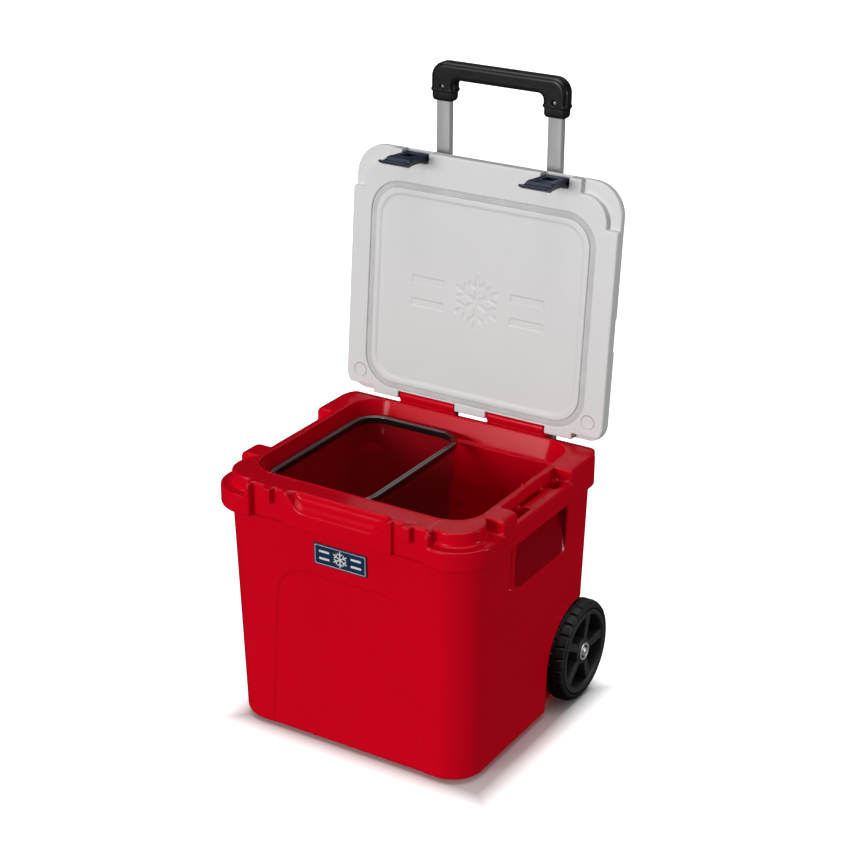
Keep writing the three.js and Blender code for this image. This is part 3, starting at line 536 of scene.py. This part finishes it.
# ---------- handle ----------
GRIP_Y = 245.0
TUBE_X, TUBE_Y = 105.5, 244.5


def grip_field(x, y, z):
    ax = np.abs(x)
    qx, qz = ax - 127 + 26, np.abs(z - 900) - 149 + 26
    outer = np.minimum(np.maximum(qx, qz), 0) + np.hypot(np.maximum(qx, 0), np.maximum(qz, 0)) - 26
    qx, qz = ax - 84 + 10, z - 1020 + 10
    inner = np.minimum(np.maximum(qx, qz), 0) + np.hypot(np.maximum(qx, 0), np.maximum(qz, 0)) - 10
    arch = smax(outer, -inner, 3)
    d = smax(arch, np.abs(y - GRIP_Y) - 14, 9)
    d = smax(d, 997 - z, 3)
    # Each leg ends in a slight flare, tapered off below.
    taper = np.maximum(1000.5 - z, 0) * 0.8
    foot = plan(ax - TUBE_X, y - GRIP_Y, 22.4 - taper, -13.9 + taper, 13.9 - taper, 6, 6)
    foot = smax(foot, between(z, 996.9, 1003.5), 1.5)
    d = smin(d, foot, 1.5)
    hole = np.hypot(ax - TUBE_X, z - 1008)
    well = np.maximum(hole - 4.2, y - 236.5)
    d = cut(d, well, 1)
    seam = np.maximum(np.abs(y - TUBE_Y) - 0.45, -d - 0.8)
    d = cut(d, seam, 0.4)
    button = smax(smax(ax - 26.4, np.abs(y - TUBE_Y) - 7.3, 3), 1043 - z, 0.5)
    return np.maximum(cut(d, button, 0.8), np.abs(y - GRIP_Y) - 13.95)


def button_field(x, y, z):
    d = smax(np.abs(x) - 26, np.abs(y - TUBE_Y) - 6.9, 4)
    ribs = 0.5 * np.clip(np.abs(((x + 500) % 6) - 3) - 1.6, 0, 0.5)
    return smax(smax(d, z - 1048.9 + ribs, 2.5), 1036 - z, 1)


def make_grip():
    grip = carved("grip", grip_field, 130, (230, 260), (996, 1050), 1.15, 60000)
    placed(grip, "handle", "grip_black", "grip_front_shell", "grip_rear_shell")
    button = carved("release_button_cap", button_field, 27, (237, 252), (1035, 1050), 0.7, 9000)
    placed(button, "release", "button_black")
    return [grip, button]


def collar_field(x, y, z):
    t = np.clip((z - 983) / 5, 0, 1)
    d = plan(x, y - TUBE_Y, 17.6 + 2 * t, -9.8 - 2 * t, 9.8 + 2 * t, 4, 4)
    d = smax(d, between(z, 983.1, 997.5), 1)
    bore = plan(x, y - TUBE_Y, 14.4, -5.9, 5.9, 3, 3)
    return cut(d, bore, 0.8)


def tube_piece(name, sign, node):
    """One of the grip's two upright tubes: 28 by 11, its wall 1.5 thick."""
    half, reach, wall = 28 / 2, 11 / 2, 1.5
    z0, z1 = 655, 1010
    loop = rounded_loop([(0, z0), (0, z1), (-wall, z1), (-wall, z0)], 0.4, 2)
    rings = []
    for offset, z in loop:
        ring = outline(half, -reach, reach, 3, 3, offset, 6, sign * TUBE_X)
        rings.append([(px, TUBE_Y + py, z) for px, py in ring])
    return placed(skin(name, rings, closed=True), "handle", "tube_aluminium", node)


def screw_head(name, at, radius, node):
    """A domed screw head with a cross recess, facing the front."""
    turn = Vector((0, -1, 0)).to_track_quat("Z", "Y").to_matrix()
    depth = 2.2
    rings = []
    profile = ((0.02, 1.0), (0.45, 0.96), (0.8, 0.78), (0.97, 0.45), (1.0, 0.2), (1.0, -1.0))
    for r, h in profile:
        ring = []
        for i in range(32):
            a = 2 * math.pi * i / 32
            dent = 0.55 if r < 0.5 and abs(math.sin(2 * a)) < 0.45 else 0
            p = Vector((r * radius * math.cos(a), r * radius * math.sin(a), (h - dent) * depth))
            ring.append(tuple(Vector(at) + turn @ p))
        rings.append(ring)
    rings.reverse()
    obj = skin(name, rings, caps=(True, True), smooth=50)
    return placed(obj, "handle", "steel", node)


# ---------- latches ----------
LATCH_X, LATCH_Y, LATCH_Z = 132.0, -252.0, 468.0


def latch_field(x, y, z):
    ax = np.abs(x)
    arm = brick(ax, y, z, ((-23, 23), (-259.3, -248.7), (404, 470)), 1.4)
    barrel = smax(np.hypot(y - LATCH_Y, z - LATCH_Z) - 6, ax - 24, 1.5)
    d = smin(arm, barrel, 3)
    # The finger tip dips inwards, then turns out again, and is a little wider than the arm.
    t = np.clip((412 - z) / 27.5, 0, 1)
    middle = -254.0 + 3.4 * np.sin(math.pi * t) - 1.2 * t
    tip = smax(np.abs(y - middle) - 5.2 + 3.1 * t, ax - 23 - 3.2 * np.sqrt(t), 1.8)
    d = smin(d, smax(tip, between(z, 384.3, 420), 1.6), 2)
    window = smax(smax(ax - 10, between(z, 431, 458), 3), y + 246, 1)
    d = cut(d, window, 1.5)
    rib = smax(smax(ax - 12, between(z, 424, 429), 1), -258.2 - y, 0.5)
    d = np.minimum(d, np.maximum(rib, y + 250))
    return cut(d, np.hypot(y - LATCH_Y, z - LATCH_Z) - 2.9, 0.6)


def make_latches():
    made = []
    for side, sign in SIDES:
        piece = carved(
            f"latch_{side}_arm", latch_field, 27, (-262, -244), (383, 475), 0.8, 14000,
            centre=sign * LATCH_X, turn=opened,
        )
        made.append(placed(piece, f"latch_{side}", "latch_navy", f"latch_{side}"))
    return made


# ---------- wheels ----------
LUGS = 26


def soft_step(v, edge, width):
    t = min(max((v - edge) / width + 0.5, 0), 1)
    return t * t * (3 - 2 * t)


def tread(x, radius, angle):
    """Two rows of blocks, half a pitch apart, with grooves between them."""
    if radius < 80:
        return radius
    across = (x - 230.5) / 19.5
    row = 0.0 if across > 0 else 0.5
    phase = (angle / (2 * math.pi) * LUGS + row + 0.12 * abs(across)) % 1
    gap = 1 - soft_step(abs(phase - 0.5), 0.43, 0.07)
    centre = 1 - soft_step(abs(across), 0.1, 0.1)
    shoulder = soft_step(radius, 83, 4)
    deep = max(1 - gap, centre)
    return radius - 3.4 * deep * shoulder


def make_tyre(side, sign):
    corners = [(211, 76.6), (211, 81), (213.5, 85.5), (219, 88.6), (224, 89.7), (237, 89.7)]
    corners += [(242, 88.6), (247, 85.5), (249.2, 81), (249.2, 76.6)]
    fine = []
    for (x0, r0), (x1, r1) in zip(corners, corners[1:]):
        parts = max(1, round(math.hypot(x1 - x0, r1 - r0) / 1.6))
        fine += [(x0 + (x1 - x0) * k / parts, r0 + (r1 - r0) * k / parts) for k in range(parts)]
    fine.append(corners[-1])
    piece = turned(f"tyre_tread_{side}", fine, LUGS * 16, sign, tread)
    return placed(piece, f"wheel_{side}", "tyre", f"tyre_{side}")


SPOKE_TURN = math.radians(4)
SPOKE_ANGLE = 2 * math.pi / 5


def wheel_field(u, x, v):
    """u and v lie in the wheel's plane, v along a spoke; x runs out along the axle."""
    r = np.hypot(u, v)
    angle = np.abs((np.arctan2(u, v) + SPOKE_ANGLE / 2) % SPOKE_ANGLE - SPOKE_ANGLE / 2)
    across = r * np.sin(angle)
    along = r * np.cos(angle)
    d = np.maximum(r - 74.2, between(x, 214, 250))
    d = cut(d, smax(r - 66.5, 247 - x, 2), 1.5)
    window = smax(4.8 + along * 0.055 - across, between(r, 23, 65), 4)
    window = smax(window, 217 - x, 2)
    d = cut(d, window, 1.5)
    hub = smax(r - 18.5, between(x, 225, 248.4), 2)
    d = smin(d, hub, 2)
    lip = smax(np.abs(r - 69.8) - 4.2, between(x, 240, 249), 2)
    d = smin(d, lip, 1.5)
    return cut(d, r - 11.2, 1)


def wheel_turn(sign):
    """Takes the wheel's own frame (u, axle, v) to the part's."""
    cos, sin = math.cos(SPOKE_TURN), math.sin(SPOKE_TURN)

    def apply(points, direction=False):
        u, x, v = points.T
        y, z = v * cos - u * sin * sign, v * sin + u * cos * sign
        if direction:
            return np.stack([x * sign, y, z], 1)
        return np.stack([x * sign, y + WHEEL_Y, z + WHEEL_Z], 1)

    return apply


def make_wheels():
    tyres, discs, bright = [], [], []
    for side, sign in SIDES:
        tyres.append(make_tyre(side, sign))
        disc = carved(
            f"wheel_spokes_{side}", wheel_field, 76, (213, 251), (-76, 76), 1.5, 36000,
            turn=wheel_turn(sign),
        )
        discs.append(placed(disc, f"wheel_{side}", "wheel_black", f"wheel_disc_{side}"))
        ring = rounded_loop([(247.3, 11.6), (247.3, 15.8), (249.7, 15.4), (249.7, 11.9)], 0.8)
        piece = turned(f"hub_collar_{side}", ring, 64, sign)
        bright.append(placed(piece, f"wheel_{side}", "hub_steel", f"hub_ring_{side}"))
        dome = [(246.5, 7.8), (249.0, 7.8), (250.6, 6.6), (251.5, 4.4), (251.8, 0.05), (246.5, 0.05)]
        piece = turned(f"axle_pin_head_{side}", dome, 40, sign)
        bright.append(placed(piece, "tub", "hub_steel", f"axle_end_cap_{side}"))
    return tyres, discs, bright


# ---------- basket ----------
BASKET_MIDDLE, BASKET_HALF, BASKET_FRONT, BASKET_REAR = -94.5, 102.5, -188.0, 139.0
BASKET_TOP, BASKET_BOTTOM = 436, 165


def basket_ring(offset, z):
    corner, steps = 46, 14
    ring = outline(
        BASKET_HALF, BASKET_FRONT, BASKET_REAR, corner, corner, offset, steps, BASKET_MIDDLE
    )
    return [(x, y, z) for x, y in ring]


def make_basket():
    top, low = BASKET_TOP - 6.5, BASKET_BOTTOM
    # (how far in from the rim, height) down the outer wall, over its two steps
    wall = [(4, top), (4.4, 372), (5, 366), (8.6, 362.5), (9.2, 356), (9.6, 300), (10.2, 293)]
    wall += [(13, 290), (13.6, 284), (17, 180), (18.2, 172), (22, 167), (28, low), (60, low)]
    inner = [(a + 2.4, b) for a, b in wall[:9]]
    inner += [(19.4, 181), (20.4, 174.5), (23.6, 170), (28.6, 167.6), (60, 167.6)]
    loop = [(-a, b) for a, b in wall], [(-a, b) for a, b in inner]
    rings = [basket_ring(o, z) for o, z in loop[0]][::-1]
    rings += [basket_ring(o, z) for o, z in [(-4.6, top + 0.4), (-5.8, top + 0.4)]]
    rings += [basket_ring(o, z) for o, z in loop[1]]
    bin_piece = skin("basket_walls", rings, caps=(True, True), smooth=60)
    placed(bin_piece, "basket", "basket_smoke", "basket_bin")
    profile = rounded_loop(
        [(0, 424.2), (0, 435.8), (-3.6, 435.8), (-4.2, 434.6), (-5.4, 434.6), (-6.0, 435.8),
         (-9.8, 435.8), (-9.8, 424.2), (-7.2, 424.2), (-7.2, 429.8), (-3.4, 429.8), (-3.4, 424.2)],
        1.4, 3,
    )
    rim_piece = skin("basket_edge", [basket_ring(o, z) for o, z in profile][::-1], closed=True)
    placed(rim_piece, "basket", "basket_rim_smoke", "basket_rim")
    return bin_piece, rim_piece


def make_gasket():
    profile = rounded_loop([(-4.9, 462.4), (-4.9, 460.7), (0, 460.2), (4.9, 460.7), (4.9, 462.4)], 1.2)
    rings = []
    for offset, z in profile:
        ring = outline(*GASKET_LINE, offset, 16)
        rings.append([(x, y, z) for x, y in ring])
    piece = skin("gasket", rings, closed=True, turn=opened)
    return placed(piece, "lid", "gasket_grey", "lid_gasket")


# ---------- badge ----------
BADGE_Z = 361.0
BADGE_TILT = math.atan(11 / 394)
BADGE_FACE = -228.8 - (BADGE_Z - BASE_Z) * 11 / 394


def emblem(u, v, size):
    """A plain snow crystal between two pairs of bars, even in u and v."""
    d = np.full(np.broadcast(u, v).shape, 1e3)
    for k in range(3):
        a = math.radians(90 + 60 * k)
        along = np.abs(u * math.cos(a) + v * math.sin(a))
        across = np.abs(-u * math.sin(a) + v * math.cos(a))
        arm = np.hypot(np.maximum(along - 0.9 * size, 0), across) - 0.075 * size
        d = np.minimum(d, arm)
        twig = np.abs((along - 0.5 * size) - across * 0.62) * 0.85
        d = np.minimum(d, np.maximum(twig - 0.07 * size, across - 0.32 * size))
    for row in (-0.42, 0.42):
        long = between(np.abs(u), 1.35 * size, 2.65 * size)
        d = np.minimum(d, np.maximum(long, np.abs(v - row * size) - 0.13 * size))
    return d


def badge_turn(points, direction=False):
    """Local z runs up the badge and y out of its face towards the front."""
    x, y, z = points.T
    cos, sin = math.cos(BADGE_TILT), math.sin(BADGE_TILT)
    out = np.stack([x, y * cos - z * sin, z * cos + y * sin], 1)
    return out if direction else out + np.array((0, BADGE_FACE, BADGE_Z))


def plate_field(x, y, z):
    d = smax(np.abs(x) - 50, np.abs(z) - 19, 2.5)
    plate = smax(d, between(y, -2.6, -0.6), 0.8)
    return cut(plate, np.maximum(np.maximum(-d - 3.2, d + 2.2), y + 2.1), 0.3)


def mark_field(x, y, z):
    shape = emblem(x, z, 15.0)
    border = np.abs(smax(np.abs(x) - 50, np.abs(z) - 19, 2.5) + 2.7) - 0.45
    return smax(np.minimum(shape, border), between(y, -2.9, -2.2), 0.25)


def make_badge():
    plate = carved("badge", plate_field, 51, (-3.4, 0), (-20, 20), 0.7, 16000, turn=badge_turn)
    placed(plate, "tub", "badge_navy", "badge_plate")
    mark = carved("badge_mark", mark_field, 51, (-3.4, -1.6), (-19, 19), 0.45, 24000, turn=badge_turn)
    return plate, placed(mark, "tub", "badge_navy")


# ---------- hinge hardware ----------
def make_hinge_bushings():
    made = []
    for side, sign in SIDES:
        profile = rounded_loop([(144.6, 2.9), (144.6, 7.2), (160.5, 7.2), (160.5, 2.9)], 0.8)
        rings = []
        for x, radius in profile:
            rings.append([
                (sign * x, HINGE_Y + radius * math.cos(a), HINGE_Z + radius * math.sin(a))
                for a in np.linspace(0, 2 * math.pi, 32, endpoint=False)
            ])
        if sign > 0:
            rings.reverse()
        piece = skin(f"hinge_bushing_{side}", rings, closed=True)
        made.append(placed(piece, "tub", "black_plastic"))
    return made


# ---------- materials ----------
class Look:
    """A Principled material with its nodes laid out in code."""

    def __init__(self, name, color, roughness, metallic=0.0, **sockets):
        self.material = bpy.data.materials.new(name)
        self.material.use_nodes = True
        self.tree = self.material.node_tree
        self.shader = self.tree.nodes["Principled BSDF"]
        self.shader.inputs["Base Color"].default_value = (*color, 1)
        self.shader.inputs["Roughness"].default_value = roughness
        self.shader.inputs["Metallic"].default_value = metallic
        for key, value in sockets.items():
            self.shader.inputs[key.replace("_", " ")].default_value = value
        self.coordinates = self.tree.nodes.new("ShaderNodeTexCoord").outputs["Object"]

    def join(self, a, b):
        self.tree.links.new(a, b)

    def noise(self, scale, detail=3.0, stretch=(1, 1, 1)):
        mapping = self.tree.nodes.new("ShaderNodeMapping")
        mapping.inputs["Scale"].default_value = stretch
        self.join(self.coordinates, mapping.inputs["Vector"])
        node = self.tree.nodes.new("ShaderNodeTexNoise")
        node.inputs["Scale"].default_value = scale
        node.inputs["Detail"].default_value = detail
        self.join(mapping.outputs["Vector"], node.inputs["Vector"])
        return node.outputs["Fac"]

    def remap(self, value, low, high, from_low=0.3, from_high=0.7):
        node = self.tree.nodes.new("ShaderNodeMapRange")
        for key, v in zip(
            ("From Min", "From Max", "To Min", "To Max"), (from_low, from_high, low, high)
        ):
            node.inputs[key].default_value = v
        self.join(value, node.inputs["Value"])
        return node.outputs["Result"]

    def roughness(self, value, low, high):
        self.join(self.remap(value, low, high), self.shader.inputs["Roughness"])
        return self

    def tint(self, value, first, second):
        node = self.tree.nodes.new("ShaderNodeMix")
        node.data_type = "RGBA"
        node.inputs["A"].default_value = (*first, 1)
        node.inputs["B"].default_value = (*second, 1)
        self.join(self.remap(value, 0, 1), node.inputs["Factor"])
        self.join(node.outputs["Result"], self.shader.inputs["Base Color"])
        return self

    def bump(self, value, height, strength=1.0):
        node = self.tree.nodes.new("ShaderNodeBump")
        node.inputs["Distance"].default_value = height
        node.inputs["Strength"].default_value = strength
        previous = self.shader.inputs["Normal"].links
        if previous:
            self.join(previous[0].from_socket, node.inputs["Normal"])
        self.join(value, node.inputs["Height"])
        self.join(node.outputs["Normal"], self.shader.inputs["Normal"])
        return self


def wear(obj, look):
    obj.data.materials.clear()
    obj.data.materials.append(look.material)
    for polygon in obj.data.polygons:
        polygon.material_index = 0


def within(look, middle, half):
    """1 inside a box given in metres and its mirror image in x, 0 outside them."""
    steps = [("ABSOLUTE", None), ("SUBTRACT", middle), ("ABSOLUTE", None), ("DIVIDE", half)]
    vector = look.coordinates
    for operation, other in steps:
        node = look.tree.nodes.new("ShaderNodeVectorMath")
        node.operation = operation
        look.join(vector, node.inputs[0])
        if other is not None:
            node.inputs[1].default_value = other
        vector = node.outputs[0]
    parts = look.tree.nodes.new("ShaderNodeSeparateXYZ")
    look.join(vector, parts.inputs[0])
    value = parts.outputs["X"]
    for key in ("Y", "Z"):
        larger = look.tree.nodes.new("ShaderNodeMath")
        larger.operation = "MAXIMUM"
        look.join(value, larger.inputs[0])
        look.join(parts.outputs[key], larger.inputs[1])
        value = larger.outputs[0]
    return look.remap(value, 1.0, 0.0, 0.97, 1.03)


def paint_shade(look, mask, factor):
    """Painted shade: darkens the base colour by factor where mask is 1."""
    node = look.tree.nodes.new("ShaderNodeMix")
    node.data_type = "RGBA"
    node.blend_type = "MULTIPLY"
    color = look.shader.inputs["Base Color"]
    look.join(color.links[0].from_socket, node.inputs["A"])
    node.inputs["B"].default_value = (factor, factor, factor, 1)
    look.join(mask, node.inputs["Factor"])
    look.join(node.outputs["Result"], color)


def red_plastic():
    look = Look("red_polyethylene", (0.6, 0.0004, 0.011), 0.18, Specular_IOR_Level=0.1)
    look.tint(look.noise(9, 4), (0.59, 0.0003, 0.01), (0.61, 0.0006, 0.012))
    # Painted shade in the hand-holds: their red is darkened to half that of the walls round them.
    paint_shade(look, within(look, (0.222, 0.0, 0.351), (0.0105, 0.094, 0.049)), 0.5)
    look.roughness(look.noise(60, 4), 0.16, 0.21)
    look.bump(look.noise(900, 2), 0.00006, 0.35)
    return look.bump(look.noise(14, 2), 0.0012, 0.06)


def white_plastic():
    look = Look("white_polyethylene", (0.68, 0.68, 0.68), 0.4, Specular_IOR_Level=0.4)
    look.tint(look.noise(8, 4), (0.67, 0.67, 0.672), (0.69, 0.69, 0.69))
    look.roughness(look.noise(60, 4), 0.36, 0.45)
    look.bump(look.noise(900, 2), 0.00006, 0.35)
    return look.bump(look.noise(12, 2), 0.0012, 0.06)


def black_plastic(name="black_plastic", shade=0.014, roughness=0.42, specular=0.3):
    look = Look(name, (shade, shade, shade * 1.05), roughness, Specular_IOR_Level=specular)
    look.tint(look.noise(40, 4), (shade * 0.9,) * 3, (shade * 1.15,) * 3)
    look.roughness(look.noise(120, 4), roughness - 0.05, roughness + 0.07)
    return look.bump(look.noise(1600, 2), 0.00008, 0.5)


def metal(name, shade, roughness, metallic, stretch=(1, 1, 1)):
    look = Look(name, (shade, shade, shade * 1.01), roughness, metallic)
    look.roughness(look.noise(400, 3, stretch), roughness - 0.05, roughness + 0.08)
    return look.bump(look.noise(700, 2, stretch), 0.00004, 0.4)


def wheel_plastic():
    look = black_plastic("wheel_black", 0.026, 0.5)
    # Painted shade: the disc's inner part, seen through the spoke windows, is darkened to a tenth so the
    # windows read black.
    paint_shade(look, within(look, (0.216, 0.1355, 0.09), (0.012, 0.1, 0.1)), 0.1)
    return look


def rubber(name, color, roughness):
    look = Look(name, color, roughness, Specular_IOR_Level=0.35)
    look.tint(look.noise(30, 5), color, tuple(1.15 * c for c in color))
    look.roughness(look.noise(90, 4), roughness - 0.08, roughness + 0.1)
    return look.bump(look.noise(1300, 3), 0.0001, 0.5)


def clear_smoke():
    look = Look("basket_clear", (0.05, 0.03, 0.03), 0.06, IOR=1.49, Alpha=0.1)
    look.roughness(look.noise(30, 3), 0.04, 0.09)
    return look.bump(look.noise(18, 2), 0.0008, 0.08)


def polished_smoke():
    look = Look("basket_edge_smoke", (0.005, 0.007, 0.008), 0.1, Coat_Weight=0.8)
    look.tint(look.noise(20, 3), (0.006, 0.008, 0.009), (0.009, 0.011, 0.012))
    return look.roughness(look.noise(60, 4), 0.08, 0.13)


def foam_look():
    look = Look("foam", (0.8, 0.72, 0.45), 0.9)
    look.tint(look.noise(60, 5), (0.74, 0.66, 0.4), (0.84, 0.77, 0.52))
    return look.bump(look.noise(300, 4), 0.0006, 0.8)


def build_studio():
    world = bpy.data.worlds.new("studio")
    world.use_nodes = True
    tree = world.node_tree
    background = tree.nodes["Background"]
    background.inputs["Color"].default_value = (1, 1, 1, 1)
    # White to the camera, AMBIENT to matt surfaces, the two mirrored values to glossy ones.
    direction = tree.nodes.new("ShaderNodeTexCoord").outputs["Generated"]
    height = tree.nodes.new("ShaderNodeSeparateXYZ")
    tree.links.new(direction, height.inputs[0])
    sky = tree.nodes.new("ShaderNodeMapRange")
    heights = {"From Min": MIRROR_FROM, "From Max": MIRROR_TO}
    heights |= {"To Min": MIRRORED_GROUND, "To Max": MIRRORED_SKY}
    for key, value in heights.items():
        sky.inputs[key].default_value = value
    tree.links.new(height.outputs["Z"], sky.inputs["Value"])
    rays = tree.nodes.new("ShaderNodeLightPath")
    mirrored, seen = (tree.nodes.new("ShaderNodeMix") for _ in range(2))
    mirrored.inputs["A"].default_value = AMBIENT
    seen.inputs["B"].default_value = 1.0
    tree.links.new(rays.outputs["Is Glossy Ray"], mirrored.inputs["Factor"])
    tree.links.new(sky.outputs["Result"], mirrored.inputs["B"])
    tree.links.new(rays.outputs["Is Camera Ray"], seen.inputs["Factor"])
    tree.links.new(mirrored.outputs["Result"], seen.inputs["A"])
    tree.links.new(seen.outputs["Result"], background.inputs["Strength"])
    bpy.context.scene.world = world
    bpy.context.scene.view_settings.view_transform = "Standard"
    for name, direction, strength, spread in SUNS:
        data = bpy.data.lights.new(name, "SUN")
        data.energy = strength
        data.angle = spread
        lamp = bpy.data.objects.new(name, data)
        bpy.context.scene.collection.objects.link(lamp)
        lamp.rotation_euler = Vector(direction).to_track_quat("Z", "Y").to_euler()
    corners = [(x * FLOOR_REACH, y * FLOOR_REACH, 0) for x, y in ((-1, -1), (1, -1), (1, 1), (-1, 1))]
    mesh = bpy.data.meshes.new("floor")
    mesh.from_pydata(corners, [], [(0, 1, 2, 3)])
    floor = link("floor", mesh)
    floor.visible_glossy = False
    floor.visible_diffuse = False
    floor.visible_shadow = False
    wear(floor, floor_paper())


def floor_paper():
    """White paper that glows more with distance from the tub's footprint, so that a shadow shows only
    close to it.
    """
    look = Look("floor_paper", (0.9, 0.9, 0.9), 0.9, Specular_IOR_Level=0.1)
    look.shader.inputs["Emission Color"].default_value = (1, 1, 1, 1)
    look.roughness(look.noise(3), 0.85, 0.95)
    shift = look.tree.nodes.new("ShaderNodeVectorMath")
    shift.operation = "ADD"
    shift.inputs[1].default_value = tuple(-v for v in FOOTPRINT_MIDDLE)
    look.join(look.coordinates, shift.inputs[0])
    size = look.tree.nodes.new("ShaderNodeVectorMath")
    size.operation = "ABSOLUTE"
    look.join(shift.outputs[0], size.inputs[0])
    beyond = look.tree.nodes.new("ShaderNodeVectorMath")
    beyond.operation = "SUBTRACT"
    beyond.inputs[1].default_value = FOOTPRINT_HALF
    look.join(size.outputs[0], beyond.inputs[0])
    parts = look.tree.nodes.new("ShaderNodeSeparateXYZ")
    look.join(beyond.outputs[0], parts.inputs[0])
    far = look.tree.nodes.new("ShaderNodeMath")
    far.operation = "MAXIMUM"
    look.join(parts.outputs["X"], far.inputs[0])
    look.join(parts.outputs["Y"], far.inputs[1])
    # Painted shade near the base: the glow fades to nothing towards the footprint, which darkens the
    # floor there on top of its real shadow.
    glow = look.remap(far.outputs[0], 0.0, 1.0, 0.0, SHADOW_REACH)
    look.join(glow, look.shader.inputs["Emission Strength"])
    return look


def finish_cad_nodes(looks):
    """The CAD nodes that stay: welded, their edges broken, in their slot's material."""
    slots = {s["node"]: s["material_slot"] for s in frame["record"]["subparts"]}
    for name, obj in frame["nodes"].items():
        wear(obj, looks[slots[name]])
        if "foam" in name or "fill_plug" in name:
            continue
        weld = obj.modifiers.new("weld", "WELD")
        weld.merge_threshold = 0.00002
        edge = obj.modifiers.new("edge", "BEVEL")
        edge.width = 0.0005
        edge.segments = 2
        edge.limit_method = "ANGLE"
        edge.angle_limit = math.radians(50)
        edge.use_clamp_overlap = True


# ---------- assembly ----------
make_camera()
build_studio()
tub, lid = make_tub(), make_lid()
wear(tub, red_plastic())
wear(lid, white_plastic())
BLACK = black_plastic()
GRIP = black_plastic("grip_black", 0.009, 0.33, 0.22)
ALUMINIUM = metal("tube_aluminium", 0.3, 0.5, 0.25, (1, 1, 0.03))
STEEL = metal("steel", 0.5, 0.3, 0.5)
BRIGHT = metal("hub_steel", 0.7, 0.3, 0.45)
NAVY = rubber("latch_navy", (0.006, 0.011, 0.032), 0.36)
LOOKS = {
    "tub_red": red_plastic(),
    "lid_white": white_plastic(),
    "foam": foam_look(),
    "badge_navy": rubber("badge_navy", (0.001, 0.019, 0.06), 0.38),
    "black_plastic": BLACK,
    "housing_black": black_plastic("housing_black", 0.017, 0.5),
    "grip_black": GRIP,
    "button_black": black_plastic("button_black", 0.01, 0.25),
    "latch_navy": NAVY,
    "gasket_grey": rubber("gasket_grey", (0.5, 0.5, 0.5), 0.6),
    "foot_rubber": rubber("foot_rubber", (0.012, 0.012, 0.012), 0.7),
    "tyre": rubber("tyre", (0.0022, 0.0022, 0.0024), 0.6),
    "wheel_black": wheel_plastic(),
    "hub_steel": BRIGHT,
    "steel": STEEL,
    "tube_aluminium": ALUMINIUM,
    "basket_smoke": clear_smoke(),
    "basket_rim_smoke": polished_smoke(),
}
grip, button = make_grip()
wear(grip, GRIP)
wear(button, LOOKS["button_black"])
for side, sign in SIDES:
    x = sign * TUBE_X
    collar = carved(
        f"grip_collar_{side}_moulding", collar_field, 23, (229, 260), (982, 998), 0.9, 6000,
        centre=x,
    )
    wear(placed(collar, "handle", "grip_black", f"grip_collar_{side}"), GRIP)
    wear(tube_piece(f"upright_{side}", sign, f"upper_tube_{side}"), ALUMINIUM)
    wear(screw_head(f"grip_screw_{side}_head", (x, 237, 1008), 3.2, f"grip_screw_{side}"), STEEL)
for piece in make_latches():
    wear(piece, NAVY)
tyres, discs, bright = make_wheels()
for piece in tyres:
    wear(piece, LOOKS["tyre"])
for piece in discs:
    wear(piece, LOOKS["wheel_black"])
for piece in bright:
    wear(piece, BRIGHT)
walls, edge = make_basket()
wear(walls, LOOKS["basket_smoke"])
wear(edge, LOOKS["basket_rim_smoke"])
wear(make_gasket(), LOOKS["gasket_grey"])
plate, mark = make_badge()
wear(plate, LOOKS["badge_navy"])
wear(mark, rubber("badge_white", (0.6, 0.6, 0.6), 0.45))
for piece in make_hinge_bushings():
    wear(piece, BLACK)
finish_cad_nodes(LOOKS)
